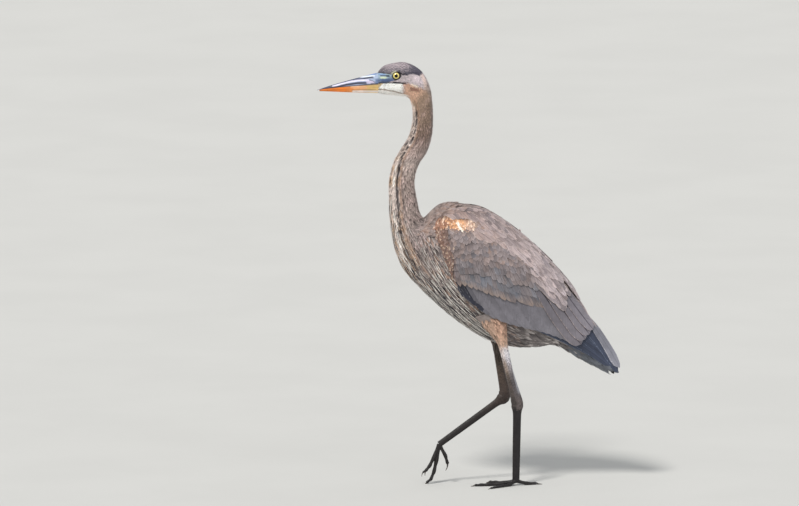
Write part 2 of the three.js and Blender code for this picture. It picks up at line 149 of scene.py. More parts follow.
def side_view(p):
    """The x and z of places, in millimetres."""
    return p[:, 0] / MM, p[:, 2] / MM


def from_eye(x, z, squeeze=1.0):
    """Millimetres from the middle of the eye, seen from the side."""
    return np.hypot((x - EYE["x"] / MM) * squeeze, z - EYE["z"] / MM)


def square_to(axis):
    """Two directions square to axis: one level, one as upright as can be."""
    level = unit(np.cross(axis, [0, 0, 1.0]))
    return level, np.cross(level, axis)


def add_colours(mesh, table):
    """Colour attributes by name, from arrays with 3 or 4 columns and a row for each vertex."""
    for key, values in table.items():
        layer = mesh.color_attributes.new(key, "FLOAT_COLOR", "POINT")
        rgba = np.ones((len(mesh.vertices), 4), np.float32)
        rgba[:, : values.shape[1]] = values
        layer.data.foreach_set("color", rgba.ravel())


def make_mesh(name, points, quads=(), tris=(), colours=None, maps=None, sharp=None):
    """A mesh object from arrays of points and faces, with colour attributes and UV maps."""
    mesh = bpy.data.meshes.new(name)
    quads = np.asarray(quads, np.int32).reshape(-1, 4)
    tris = np.asarray(tris, np.int32).reshape(-1, 3)
    loops = np.concatenate([quads.ravel(), tris.ravel()])
    starts = np.concatenate([np.arange(len(quads)) * 4, len(quads) * 4 + np.arange(len(tris)) * 3])
    mesh.vertices.add(len(points))
    mesh.vertices.foreach_set("co", np.asarray(points, np.float32).ravel())
    mesh.loops.add(len(loops))
    mesh.loops.foreach_set("vertex_index", loops)
    mesh.polygons.add(len(starts))
    mesh.polygons.foreach_set("loop_start", starts.astype(np.int32))
    mesh.update(calc_edges=True)
    mesh.polygons.foreach_set("use_smooth", np.ones(len(starts), bool))
    add_colours(mesh, colours or {})
    for key, values in (maps or {}).items():
        layer = mesh.uv_layers.new(name=key)
        layer.data.foreach_set("uv", np.asarray(values, np.float32)[loops].ravel())
    if sharp:
        mesh.set_sharp_from_angle(angle=math.radians(sharp))
    made = bpy.data.objects.new(name, mesh)
    bpy.context.scene.collection.objects.link(made)
    return made


def tube_faces(rings, count):
    """Quads round a stack of closed rings of count points, and the fans that close its ends."""
    r, i = np.meshgrid(np.arange(rings - 1), np.arange(count), indexing="ij")
    j = (i + 1) % count
    quads = np.stack([r * count + i, r * count + j, (r + 1) * count + j, (r + 1) * count + i], -1)
    start, end = rings * count, rings * count + 1
    i = np.arange(count)
    j = (i + 1) % count
    fan_a = np.stack([j, i, np.full(count, start)], -1)
    fan_b = np.stack([(rings - 1) * count + i, (rings - 1) * count + j, np.full(count, end)], -1)
    return quads.reshape(-1, 4), np.concatenate([fan_a, fan_b])


def outward(made):
    """Turns the faces of a closed mesh outwards."""
    mesh = bmesh.new()
    mesh.from_mesh(made.data)
    bmesh.ops.recalc_face_normals(mesh, faces=mesh.faces)
    mesh.to_mesh(made.data)
    mesh.free()
    return made


def loft(name, rings, colours=None, maps=None):
    """A closed tube through rings, an array (rings, count, 3)."""
    points = np.concatenate([rings.reshape(-1, 3), rings[0].mean(0)[None], rings[-1].mean(0)[None]])
    return outward(make_mesh(name, points, *tube_faces(*rings.shape[:2]), colours, maps))

# ---- Surfaces the feathers grow on --------------------------------------------------------
def body_place(t, turn, off=0.0):
    """Places on the body by section t and turn, which is 0 on the back; off is outwards."""
    bx, bz, lx, lz, half = between(BODY, t).T
    dx, dz = bx - lx, bz - lz
    length = np.hypot(dx, dz)
    along = (length / 2 + off) * np.cos(turn)
    return np.stack([(bx + lx) / 2 + dx / length * along, (half + off) * np.sin(turn),
                     (bz + lz) / 2 + dz / length * along], -1)


def wing_place(side):
    """Places on a folded wing by station t and share of the way down; off is outwards."""
    last = len(WING) - 1

    def place(t, share, off=0.0):
        inside = np.clip(t, 0, last)
        end = np.where((t < 0)[:, None], WING[1] - WING[0], WING[last] - WING[last - 1])
        ux, uz, uy, lx, lz, ly, out, _ = (between(WING, inside) + 0.5 * (t - inside)[:, None] * end).T
        q = np.clip(share, 0, 1)
        bulge = np.clip(np.sin(PI * q ** 0.8), 0, 1) ** 0.75
        y = uy + (ly - uy) * share + (out - (uy + ly) / 2) * bulge
        return np.stack([ux + (lx - ux) * share, side * (y + off), uz + (lz - uz) * share], -1)
    return place


def saddle_place(t, turn, off=0.0):
    """The roof of the back from one folded wing's upper edge to the other's, by body section."""
    station = t - WING_START
    edge = wing_place(1)(station, np.interp(station, (2, 6, 9), (0.02, 0.03, 0.12)))
    rise = MM * np.interp(station, (1, 2, 3, 6, 7.6, 9.4), (17, 12, 7, 6, 5, -36))
    return np.stack([edge[:, 0], (edge[:, 1] + off) * np.sin(turn),
                     edge[:, 2] + (rise + off) * np.cos(turn)], -1)


def limb_place(stations):
    """Places round a limb by station t and turn, which is 0 in front; off is outwards."""
    table = np.array(stations, float)

    def place(t, turn, off=0.0):
        t = np.clip(t, 0, len(table) - 1)
        here = between(table, t)
        way = unit(between(table, np.minimum(t + 0.02, len(table) - 1))[:, :3]
                   - between(table, np.maximum(t - 0.02, 0))[:, :3])
        fore = unit(np.cross(np.array([0.0, 1, 0]), way))
        across = np.cross(way, fore)
        return (here[:, :3] + fore * ((here[:, 3] + off) * np.cos(turn))[:, None]
                + across * ((here[:, 4] + off) * np.sin(turn))[:, None])
    return place


def leg_stations(name):
    """The whole leg from the thigh down to the toes, in metres."""
    side = SIDES[name]
    rows = list(THIGH[name]) + list(SHANK[name])
    ankle, foot, last, shaft = ANKLE[name], FOOT[name], SHANK[name][-1], SHAFT[name]
    rows.append([(last[k] + ankle[k]) / 2 for k in range(3)] + list(KNOB))
    tarsus = [(0, 13.2, 8.8), (0.045, 13.2, 8.8), (0.1, shaft + 1.6, 7), (0.2, shaft + 0.4, 5.8),
              (0.6, shaft, 5.2), (0.9, shaft - 0.6, 5.2), (1, shaft - 0.6, 6)]
    for share, deep, wide in tarsus:
        rows.append([ankle[k] + (foot[k] - ankle[k]) * share for k in range(3)] + [deep, wide])
    return MM * np.array([(x, side * y, z, deep, wide) for x, y, z, deep, wide in rows])


class Surface:
    """place(a, b) with its tangents and outward normal; b stays at or above floor."""

    def __init__(self, place, floor=-np.inf):
        self.place, self.floor = place, floor

    def frame(self, a, b):
        e = 4e-3
        pa = (self.place(a + e, b) - self.place(a - e, b)) / (2 * e)
        pb = (self.place(a, b + e) - self.place(a, b - e)) / (2 * e)
        normal = unit(np.cross(pa, pb))
        out = self.place(a, b, MM) - self.place(a, b, -MM)
        return pa, pb, normal * np.sign(dot(normal, out))[:, None]


def inverse(pa, pb, d):
    """Steps in a and b that move by the tangent vector d."""
    aa, ab, bb, ra, rb = dot(pa, pa), dot(pa, pb), dot(pb, pb), dot(pa, d), dot(pb, d)
    det = np.maximum(aa * bb - ab * ab, 1e-14)
    return (ra * bb - rb * ab) / det, (rb * aa - ra * ab) / det


def turned(d, n, angle):
    """d turned about n by angle."""
    return d * np.cos(angle)[:, None] + np.cross(n, d) * np.sin(angle)[:, None]

# ---- Markings, with some painted highlights and shade -------------------------------------
# The crown's pale colour serves both its own pale streaks and painted sunlight on the top of the crown.
CROWN, CROWN_STREAKS_AND_SUNLIT_TOP, NAPE = srgb(96, 92, 102), srgb(186, 173, 177), srgb(162, 150, 148)
CHEEK, JAW = srgb(200, 188, 191), srgb(208, 169, 145)
MALAR, MOUSTACHE, CHIN, GAPE = srgb(254, 254, 248), srgb(128, 100, 82), srgb(255, 250, 244), srgb(34, 34, 42)
LORE_BLUE, LORE_SLATE = srgb(176, 200, 214), srgb(92, 106, 134)
BAND, BUFF_BAND = srgb(230, 214, 206), srgb(212, 180, 152)
NECK_RUFOUS, DASH = srgb(166, 134, 114), srgb(34, 31, 38)
NECK_SIDE = [(5, 160, 136, 116), (8, 148, 126, 110), (9, 142, 120, 108), (10.3, 186, 167, 160),
             (11, 194, 178, 170), (12, 178, 160, 152), (14, 152, 137, 131), (16, 140, 128, 125)]
BACK, BREAST, BELLY, VENT = srgb(142, 129, 126), srgb(138, 126, 122), srgb(134, 124, 121), srgb(124, 119, 119)
TAIL, BLUSH = srgb(104, 108, 116), srgb(186, 160, 158)
CREAM, DARK_PLUME, TAN = srgb(240, 234, 226), srgb(58, 55, 62), srgb(184, 144, 116)
PLUME_EDGE, PLUME_SHAFT = srgb(204, 188, 180), srgb(120, 108, 108)
# Legs by height: the outer side, its front edge and the inner side, whose darker colours are painted shade.
# The pale band high on the outer side is partly the shank's own pale skin and partly painted sunlight.
LEG = [(0, 29, 25, 27), (150, 31, 26, 28), (172, 36, 31, 32), (177, 92, 82, 80), (192, 100, 90, 88),
       (215, 90, 83, 84), (240, 98, 92, 94), (258, 118, 111, 112), (275, 172, 164, 166),
       (290, 222, 218, 224), (312, 236, 230, 232), (322, 204, 172, 150), (345, 196, 158, 136),
       (404, 158, 130, 114)]
LEG_FRONT = [(0, 30, 26, 27), (172, 34, 29, 29), (200, 74, 66, 62), (240, 84, 72, 64), (262, 126, 108, 94),
             (280, 170, 150, 136), (300, 196, 186, 184), (318, 196, 166, 146), (404, 150, 124, 108)]
LEG_INSIDE_SHADED = [(0, 30, 26, 25), (150, 34, 29, 28), (200, 62, 50, 45), (260, 84, 70, 60), (320, 92, 84, 78),
              (404, 104, 92, 84)]
# Lines on the side of the head as x and z in millimetres.
CROWN_LINE = ((-214, 942), (-190, 939), (-178, 939), (-157, 939), (-142, 937), (-127, 939), (-113, 932.5),
              (-107, 936), (-101, 950))
JAW_LINE = ((-156, 921), (-146, 918.5), (-136, 917), (-124, 909.5), (-108, 905), (-97, 896), (-90, 888))
GAPE_LINE = ((-216, 918.5), (-180, 919.6), (-152, 919), (-144, 918))
MOUSTACHE_LINE = ((-214, 905), (-190, 903.5), (-171, 900), (-157, 896), (-130, 888))
MALAR_FRONT = ((890, -212), (908, -205), (919, -194))
LORE_BOX = dict(front=-213, rear=-171, low=919.5, high=941)
FINE_BOX = dict(front=-217, rear=-166, low=912, high=946)  # where the skin gets smaller faces
# Strokes on the side of the head: colour, strength, half width and the line they follow.
LORE_STROKES = (
    (srgb(150, 182, 226), 0.9, 2.2, ((-216, 938.5), (-199, 938.2), (-192, 938))),
    (srgb(46, 54, 84), 0.85, 1.3, ((-201, 935.4), (-194, 935.6), (-183, 935.2))),
    (srgb(30, 34, 54), 0.95, 2.0, ((-187.5, 935), (-183, 935))),
    (srgb(214, 226, 190), 1.0, 2.1, ((-200, 931), (-196, 931.3), (-190, 931.4))),
    (srgb(78, 98, 140), 0.9, 2.2, ((-208, 924.5), (-202, 925.4), (-190, 925.5), (-176, 926))),
    (srgb(196, 222, 248), 0.9, 1.4, ((-214, 933), (-209, 929), (-207, 926))),
    (GAPE, 0.95, 1.5, ((-215, 920.2), (-206, 920.6))),
    (srgb(54, 62, 86), 0.8, 1.3, ((-206, 920.8), (-188, 921.2), (-172, 921.4))),
)
FACE_STROKES = (
    (srgb(46, 42, 46), 0.9, 1.9, ((-159, 944), (-155.8, 940), (-155.4, 935), (-158, 929))),
    (srgb(62, 60, 74), 0.85, 1.5, ((-176, 929), (-170, 926), (-162, 926))),
    (srgb(186, 188, 160), 0.8, 1.3, ((-176.5, 937), (-173.5, 943), (-167, 946))),
    (srgb(206, 172, 118), 0.9, 3.2, ((-212, 913), (-207, 909), (-209, 906))),
    (GAPE, 1.0, 1.9, ((-172, 921), (-160, 920), (-153, 918.8), (-145, 918.2))),
    (srgb(232, 222, 224), 0.85, 2.0, ((-164, 924), (-158, 927), (-154, 931))),
    (srgb(48, 46, 54), 0.9, 2.0, ((-161, 944), (-154, 940.4), (-142, 937.4))),
    (srgb(60, 58, 72), 0.7, 3.0, ((-142, 939), (-127, 941), (-112, 936))),
    (srgb(236, 220, 196), 0.75, 1.8, ((-131, 915), (-124, 911.5), (-119, 910))),
    (srgb(128, 88, 76), 0.75, 3.4, ((-131, 903), (-124, 903), (-117, 900))),
    (srgb(206, 160, 140), 0.6, 3.0, ((-147, 915), (-140, 914))),
    # Painted highlight: a pale rim of light down the rear edge of the head.
    (srgb(240, 216, 206), 0.8, 4.4, ((-106, 932), (-101, 920), (-97, 904))),
    (srgb(220, 206, 212), 0.6, 5.0, ((-121, 930), (-112, 921), (-110, 914))),
)
BILL_STROKES = (
    (srgb(106, 134, 186), 0.8, 2.2, ((-212, 939), (-240, 935.5), (-266, 930), (-290, 923))),
    # Painted highlight: a near-white streak of reflected light along the side of the upper half.
    (srgb(232, 240, 252), 0.9, 1.7, ((-215, 934.6), (-230, 933.6), (-246, 931))),
    # Painted shade in the groove that runs forward from the nostril.
    (srgb(40, 50, 88), 0.95, 1.8,
     ((-218, 931), (-246, 929.2), (-266, 926.2), (-294, 919), (-314, 912.6), (-330, 907.4))),
    (srgb(226, 222, 244), 0.9, 1.9, ((-228, 925.4), (-251, 925), (-270, 922), (-289, 917.2), (-308, 912.4))),
    (srgb(46, 44, 62), 0.95, 2.3, ((-234, 919.4), (-252, 919.2), (-277, 916), (-302, 909.8), (-330, 905.6))),
    (srgb(206, 194, 218), 0.85, 3.4, ((-230, 921.5), (-217, 920.5))),
    (srgb(66, 66, 90), 0.8, 1.0, ((-226, 926), (-219, 924), (-214, 921))),
    (srgb(60, 60, 78), 0.7, 1.3, ((-222, 917.6), (-208, 918.4))),
)
JAW_STROKES = (
    # Painted highlight: a pink-cream gleam along the edge of the lower half at the gape.
    (srgb(250, 206, 172), 0.8, 1.0, ((-234, 913.4), (-250, 912.2), (-268, 910.6))),
    (srgb(246, 190, 154), 0.6, 1.1, ((-232, 908.6), (-248, 908.2), (-262, 907.4))),
    (srgb(206, 104, 34), 0.6, 1.0, ((-262, 905.6), (-290, 904), (-320, 902.4))),
    (srgb(150, 110, 78), 0.7, 0.8, ((-266, 903), (-240, 903.8), (-212, 904.6))),
    (srgb(244, 232, 224), 0.95, 2.6, ((-262, 900), (-240, 900), (-206, 899.4))),
)


def mix(a, b, f):
    """From colour a to colour b by the shares f, an array with one share for each vertex."""
    return a + (b - a) * np.asarray(f)[:, None]


def ramp(stops, at):
    """Colours in between stops of (place, r, g, b)."""
    stops = np.array(stops, float)
    linear = srgb(*stops[:, 1:].T).T
    return np.stack([np.interp(at, stops[:, 0], linear[:, k]) for k in range(3)], -1)


def line(points, x):
    points = np.array(points, float)
    return np.interp(x, points[:, 0], points[:, 1])


def near_line(x, z, points, width):
    """1 on a line drawn through points, falling off over width on either side."""
    points = np.array(points, float)
    nearest = np.full(len(x), np.inf)
    for a, b in zip(points[:-1], points[1:]):
        run = b - a
        f = np.clip(((x - a[0]) * run[0] + (z - a[1]) * run[1]) / (run @ run), 0, 1)
        nearest = np.minimum(nearest, np.hypot(x - a[0] - f * run[0], z - a[1] - f * run[1]))
    return np.exp(-(nearest / width) ** 4)


def strokes(c, x, z, table):
    for colour, strength, width, points in table:
        c = mix(c, colour, strength * near_line(x, z, points, width))
    return c


def lore(x, z):
    """1 on the bare skin between the eye and the bill, in millimetres seen from the side."""
    box = LORE_BOX
    low = box["low"] + 5 * ss(-190, -172, x)
    high = box["high"] - 2.5 * ss(-200, -172, x)
    return ss(box["front"] - 1, box["front"], x) * (1 - ss(box["rear"] - 1, box["rear"] + 1, x)) \
        * ss(low - 0.8, low + 0.4, z) * (1 - ss(high - 0.4, high + 0.8, z))


def head_paint(p):
    x, y, z = (p / MM).T
    crown = line(CROWN_LINE, x)
    wave = 1.2 * np.sin(0.9 * x + 0.5 * z) + 0.8 * np.sin(0.41 * x - 1.3 * z)
    c = mix(CHEEK, JAW, ss(-154, -143, x + wave) * (1 - ss(-3, 3, z - line(JAW_LINE, x) - wave)))
    white = (1 - ss(-155, -146, x)) * ss(-1.5, 1.5, x - line(MALAR_FRONT, z))
    c = mix(c, MALAR, white * (1 - ss(919, 921, z)) * (1 - 0.3 * ss(-176, -152, x) * (1 - ss(900, 914, z))))
    c = mix(c, srgb(214, 190, 150), (1 - ss(-1.5, 1.5, x - line(MALAR_FRONT, z))) * (1 - ss(919, 921, z)))
    moustache = line(MOUSTACHE_LINE, x)
    c = mix(c, CHIN, (1 - ss(-1.5, 0.5, z - moustache)) * (1 - ss(-146, -132, x)))
    c = mix(c, MOUSTACHE, 0.85 * np.exp(-((z - moustache) / 1.5) ** 2) * (1 - ss(-156, -140, x)))
    c = mix(c, GAPE, 0.9 * np.exp(-((z - line(GAPE_LINE, x)) / 1.3) ** 4) * (1 - ss(-150, -143, x)))
    streak = np.sin(2.1 * z - 0.7 * x + 1.5 * np.sin(0.31 * x)) + 0.5 * np.sin(0.9 * x + 1.3 * z)
    # Pale streaks, spread wider towards the top of the crown as painted sunlight from above.
    lit = ss(-0.6, 1.8, streak + 1.5 * ss(3, 20, z - crown) - 0.4)
    top = mix(CROWN, CROWN_STREAKS_AND_SUNLIT_TOP, lit * (1 - 0.8 * ss(-146, -124, x)))
    top = mix(top, srgb(66, 64, 80), 0.6 * ss(-140, -118, x))
    c = mix(c, top, ss(-1.2, 1.2, z - crown))
    c = strokes(c, x, z, FACE_STROKES)
    blue = np.maximum(ss(926, 934, z + 0.6 * wave), 0.95 * (1 - ss(-212, -197, x + 1.5 * wave)))
    bare = mix(LORE_SLATE, LORE_BLUE, blue)
    bare = mix(bare, LORE_SLATE, 0.7 * ss(-186, -174, x + 2 * wave) * (1 - ss(934, 938, z)))
    return mix(c, strokes(bare, x, z, LORE_STROKES), lore(x, z))


def front_angle(turn):
    """Degrees round from the middle of the throat and breast."""
    return np.degrees(PI - np.abs((turn + PI) % (2 * PI) - PI))


def body_paint(t, turn, p):
    """The plumage's colours on the body, by section, turn (0 on the back) and place."""
    front = front_angle(turn)
    side = ramp(NECK_SIDE, t)
    side = mix(side, NAPE, 0.55 * ss(120, 165, front) * (1 - ss(9, 12, t)))
    # Painted highlight: paler along the middle of the hindneck, the neck's rear edge where light catches it.
    side = mix(side, srgb(196, 178, 168), 0.4 * ss(150, 172, front))
    flank = np.sign(turn)
    wide = np.interp(t, (6.2, 7.5, 9, 10.5, 11.5, 13, 15, 17), (30, 52, 62, 60, 74, 80, 74, 46))
    black = np.interp(t, (6.5, 8, 9.5, 10.5, 11.5, 13, 15, 17), (42, 48, 48, 46, 60, 64, 54, 40))
    beat = np.sin(t * 19 + 4 * np.sin(t * 3.1 + flank))
    later = ss(10, 11.5, t)
    slow = np.sin(t * 6.1 + 2 * np.sin(t * 2.3 + flank) + flank)
    buff = mix(BUFF_BAND, BAND, np.maximum(ss(-0.5, 0.5, slow), 0.75 * (1 - later)))
    neck = mix(side, buff, 0.9 * (1 - ss(wide - 8, wide + 4, front)))
    near = lambda angle, width: np.exp(-((front - angle) / width) ** 2)
    neck = mix(neck, NECK_RUFOUS, 0.7 * near(black + 14, 6))
    neck = mix(neck, srgb(255, 252, 248), 0.95 * near(black - 17, 8) * later * ss(-0.4, 0.3, -slow))
    dashed = np.maximum(ss(-1.0, -0.6, beat), 0.95 * later)
    neck = mix(neck, DASH, 0.97 * near(black, 8) * dashed * ss(6.6, 7.2, t))
    neck = mix(neck, DASH, 0.9 * near(black - 20, 8) * ss(-0.3, 0.3, -beat) * (1 - later) * ss(7.2, 8, t))
    neck = mix(neck, DASH, 0.8 * near(14, 7) * ss(-0.2, 0.4, -beat) * ss(8.5, 9.5, t))
    neck = mix(neck, DASH, 0.4 * near(black + 24, 5) * ss(-0.3, 0.3, slow) * ss(8, 9, t))
    neck = mix(neck, BUFF_BAND * 0.8, 0.7 * near(24, 7) * later * ss(-0.4, 0.4, np.sin(t * 9 + flank)))
    under = np.interp(t, (15, 17, 19, 23), (0, 1, 2, 3))
    low = neck
    for passed, colour in enumerate((BREAST, BELLY, VENT)):
        low = mix(low, colour, np.clip(under - passed, 0, 1))
    trunk = mix(low, BACK, ss(75, 105, front))
    c = mix(neck, trunk, ss(14.6, 15.6, t))
    c = mix(head_paint(p), c, ss(5.2, 6.6, t))
    return mix(c, TAIL, ss(23.5, 24.5, t))


def leg_paint(p):
    """Pale outside, partly its own frosted skin and partly painted sunlight; browner in front; darker on the
    inner side as painted shade; with small speckles.
    """
    x, y, z = (p / MM).T
    middle = np.interp(z, (10, 90, 190, 300, 400), (20, 25, 28, 37, 44))
    # The inner side gets darker colours: painted shade.
    inside = 1 - ss(-4, 3, np.abs(y) - middle)
    axis = np.where(y < 0, np.interp(z, (10, 190, 230, 270, 312, 404), (104, 106, 95, 85, 74, 40)),
                    np.interp(z, (190, 230, 270, 308, 404), (81, 77, 72, 67, 30)))
    fore = 1 - ss(-5, 1, x - axis)
    speckle = np.sin(1.9 * x + 0.8 * z) * np.sin(1.1 * z - 1.4 * x + 2 * y)
    speckle = speckle + 0.6 * np.sin(0.7 * z + 2.3 * y + x)
    outer = mix(ramp(LEG, z + 3 * speckle), ramp(LEG_FRONT, z + 3 * speckle), 0.8 * fore)
    c = mix(outer, ramp(LEG_INSIDE_SHADED, z), inside)
    c = c * (1 + 0.30 * np.clip(speckle, -1, 1.2) * (1 - ss(262, 300, z)))[:, None]
    ridge = ss(6, 8, x - axis) * ss(205, 225, z) * (1 - ss(300, 315, z)) * (1 - inside)
    return mix(c, srgb(196, 198, 206), 0.6 * ridge)

# ---- Feathers -----------------------------------------------------------------------------
# Outlines: width at shares of the length from the root.
SOFT = ((0, 0.3), (0.15, 0.6), (0.45, 0.95), (0.7, 1), (0.88, 0.75), (1, 0))
POINTED = ((0, 0.35), (0.2, 0.75), (0.45, 1), (0.7, 0.82), (0.88, 0.45), (1, 0))
QUILL = ((0, 0.3), (0.1, 0.75), (0.3, 1), (0.8, 0.98), (0.93, 0.72), (1, 0))
STREAMER = ((0, 0.5), (0.15, 1), (0.6, 0.85), (1, 0))
ROUND = ((0, 0.4), (0.2, 0.8), (0.5, 1), (0.82, 1), (0.93, 0.84), (0.98, 0.5), (1, 0))
# Where a vane has its cross rows, by share of its length, and the places across it.
SMALL_ROWS, FINE_ROWS = (0.15, 0.5, 0.8, 0.95), (0.06, 0.16, 0.3, 0.44, 0.58, 0.7, 0.8, 0.88, 0.94, 0.98)
SMALL_COLUMNS, FINE_COLUMNS = (-1, 0, 1), (-1, -0.55, -0.07, 0, 0.07, 0.55, 1)
PLUME_ROWS, STREAMER_ROWS = (0.1, 0.3, 0.5, 0.7, 0.85, 0.95), (0.08, 0.2, 0.35, 0.5, 0.65, 0.8, 0.93)
BIG_ROWS, BIG_COLUMNS = (0.08, 0.25, 0.45, 0.62, 0.78, 0.9, 0.97), (-1, -0.5, 0, 0.5, 1)
LENGTH_UNIT, HALF_UNIT = 0.25, 0.05  # the lengths that 1 stands for in the Pattern attribute
PATCH = 0.003  # a vane's size on the skin's unwrap


def template(rows, columns):
    """Faces of one closed vane: a top of rows and columns, a flat underside, base and tip."""
    k, c = rows, columns
    r, j = np.meshgrid(np.arange(k - 1), np.arange(c - 1), indexing="ij")
    at = r * c + j
    top = np.stack([at, at + c, at + c + 1, at + 1], -1).reshape(-1, 4)
    r = np.arange(k - 1) * c
    under = np.stack([r, r + c - 1, r + 2 * c - 1, r + c], -1)
    base, tip = k * c, k * c + 1
    j, last = np.arange(c - 1), (k - 1) * c
    fan = [np.stack([np.full(c - 1, base), j, j + 1], -1), [[base, c - 1, 0]],
           np.stack([last + j, np.full(c - 1, tip), last + j + 1], -1), [[last + c - 1, tip, last]]]
    return np.concatenate([top, under]), np.concatenate(fan)


def midlines(surface, a, b, length, lie, heading, shares, from_tip):
    """Places down the middle of each vane by share of its length, and the step across it there."""
    def look():
        pa, pb, normal = surface.frame(a, b)
        way = lie(a, b, pa)
        return pa, pb, normal, turned(unit(way - normal * dot(way, normal)[:, None]), normal, heading)

    line_a, line_b = np.zeros((2, len(shares), len(a)))
    lateral = np.zeros((2, len(shares), len(a)))
    before = None
    for k in range(len(shares) - 1, -1, -1) if from_tip else range(len(shares)):
        if before is not None:
            step = (shares[k] - before) * length
            for _ in range(2):
                pa, pb, normal, way = look()
                da, db = inverse(pa, pb, way * (step / 2)[:, None])
                a, b = a + da, np.maximum(b + db, surface.floor)
        before = shares[k]
        pa, pb, normal, way = look()
        line_a[k], line_b[k] = a, b
        lateral[:, k] = inverse(pa, pb, np.cross(normal, way))
    return line_a, line_b, lateral


class Coat:
    """Vanes gathered into one mesh piece. chart(a, b) gives the places on the skin's unwrap."""

    def __init__(self, name, chart):
        self.name, self.chart, self.lots, self.count = name, chart, [], 0

    def add(self, surface, a, b, length, half, lie, colour, rim=None, shaft=None, rim_at=0.8, shaft_at=0.0,
            outline=SOFT, rows=SMALL_ROWS, columns=SMALL_COLUMNS, low=-4 * MM, high=0.0, camber=0.18,
            roll=0.0, ridge=0.0, from_tip=False, spread=0.08, tone=0.08, tip=0.0):
        """A lot of vanes with their roots, or with from_tip their tips, at a and b on a surface.

        They run along lie, turned by spread, and rise from low at the root to high at the tip.
        camber, roll and ridge curve, tilt and crease them. Each one's colour varies by tone, and
        rim, shaft and tip say how its edge, shaft and point are marked.
        """
        n = len(a)
        if not n:
            return
        full = lambda v: np.broadcast_to(np.asarray(v, float), (n,)).copy()
        length, half, low, high, roll = (full(v) for v in (length, half, low, high, roll))
        heading = rng.normal(0, 1, n) * spread
        shares = np.array([0.0, *rows, 1.0])
        line_a, line_b, lateral = midlines(surface, a, b, length, lie, heading, shares, from_tip)
        outline = np.array(outline)
        width = np.interp(shares, outline[:, 0], outline[:, 1])
        rise = low + (high - low) * shares[:, None] ** 0.6
        cols = np.array(columns, float)
        rng.normal(0, 1, (len(rows), n))  # not used: it keeps every later draw as it is
        w = half * width[1:-1, None]
        points = []
        for c in cols:
            pa = line_a[1:-1] + lateral[0, 1:-1] * w * c
            pb = np.maximum(line_b[1:-1] + lateral[1, 1:-1] * w * c, surface.floor)
            off = rise[1:-1] + camber * w * (1 - c * c) + roll * w * c + (ridge if c == 0 else 0)
            points.append(surface.place(pa.ravel(), pb.ravel(), off.ravel()).reshape(len(rows), n, 3))
        grid = np.stack(points, 1).reshape(len(rows) * len(cols), n, 3)
        ends = [surface.place(line_a[k], line_b[k], rise[k])[None] for k in (0, -1)]
        places = np.concatenate([grid, *ends]).transpose(1, 0, 2)  # (n, vertices, 3)
        own = rng.normal(0, 1, n)
        near_tip = line_a[-2], line_b[-2]
        paint = colour(*near_tip, surface.place(*near_tip, 0 * length)) if callable(colour) else colour
        paint = np.clip(np.broadcast_to(paint, (n, 3)) * (1 + tone * own)[:, None], 0.004, 1)
        tint = lambda value: paint if value is None else (
            value(paint) if callable(value) else np.broadcast_to(value, (n, 3)))
        u = np.concatenate([np.tile(cols, len(rows)), [0, 0]])
        v = np.concatenate([np.repeat(rows, len(cols)), [0, 1]])
        m = len(u)
        to_all = lambda value: np.repeat(value[:, None], m, 1).reshape(n * m, -1)
        on_chart = [np.repeat(np.clip(at, 0.01, 0.99), m) for at in self.chart(line_a[0], line_b[0])]
        faces, fans = template(len(rows), len(cols))
        start = self.count + np.arange(n)[:, None, None] * m
        chance = rng.random(n)
        pattern = np.stack([full(rim_at), full(shaft_at), length / LENGTH_UNIT, half / HALF_UNIT], -1)
        self.lots.append(dict(
            points=places.reshape(-1, 3), quads=(faces[None] + start).reshape(-1, 4),
            tris=(fans[None] + start).reshape(-1, 3),
            Col=np.concatenate([to_all(paint), to_all(chance)], 1),
            Rim=np.concatenate([to_all(tint(rim)), to_all(full(tip))], 1),
            Shaft=to_all(tint(shaft)), Pattern=to_all(pattern),
            Vane=np.stack([np.tile(u * 0.5 + 0.5, n), np.tile(v, n)], -1),
            OFBake=np.stack([on_chart[0] + np.tile(u, n) * PATCH / 2,
                             on_chart[1] + np.tile(v, n) * PATCH], -1)))
        self.count += n * m

    def build(self, material, slot, *nodes):
        gather = lambda key: np.concatenate([lot[key] for lot in self.lots])
        made = make_mesh(self.name, gather("points"), gather("quads"), gather("tris"),
                         {key: gather(key) for key in ("Col", "Rim", "Shaft", "Pattern")},
                         {key: gather(key) for key in ("Vane", "OFBake")}, sharp=70)
        made.data.materials.append(material)
        finish_piece(made, slot, *nodes)


def finish_piece(piece, slot, *nodes):
    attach(piece, "root")
    if nodes:
        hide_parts(*nodes)


def body_rows(surface, start, end, gap, across, least, keep=None):
    """Roots in rows round the body from section start to end: gap mm between rows, across mm in one.

    Where the rows bunch up, a share of the roots is left out, and never more than 1 - least.
    """
    turns = np.linspace(-PI, PI, 97)
    found_t, found_turn = [], []
    t, odd = start, 0
    while t < end:
        here = np.full(len(turns), t)
        pa, _, _ = surface.frame(here, turns)
        speed = np.linalg.norm(pa, axis=1)
        arc = arc_length(surface.place(here, turns))
        n = max(6, int(arc[-1] / (across * MM)))
        at = (np.arange(n) + 0.5 * odd + rng.uniform(-0.3, 0.3, n)) / n * arc[-1]
        turn = np.interp(at % arc[-1], arc, turns)
        local = np.interp(turn, turns, speed)
        stay = rng.random(n) < np.maximum(local / speed.max(), least)
        pace = gap * MM / speed.max()
        found_t.append((t + rng.uniform(-0.5, 0.5, n) * pace)[stay])
        found_turn.append(turn[stay])
        t, odd = t + pace, 1 - odd
    t, turn = np.concatenate(found_t), np.concatenate(found_turn)
    if keep is not None:
        stay = keep(t, turn, surface.place(t, turn))
        t, turn = t[stay], turn[stay]
    return t, turn

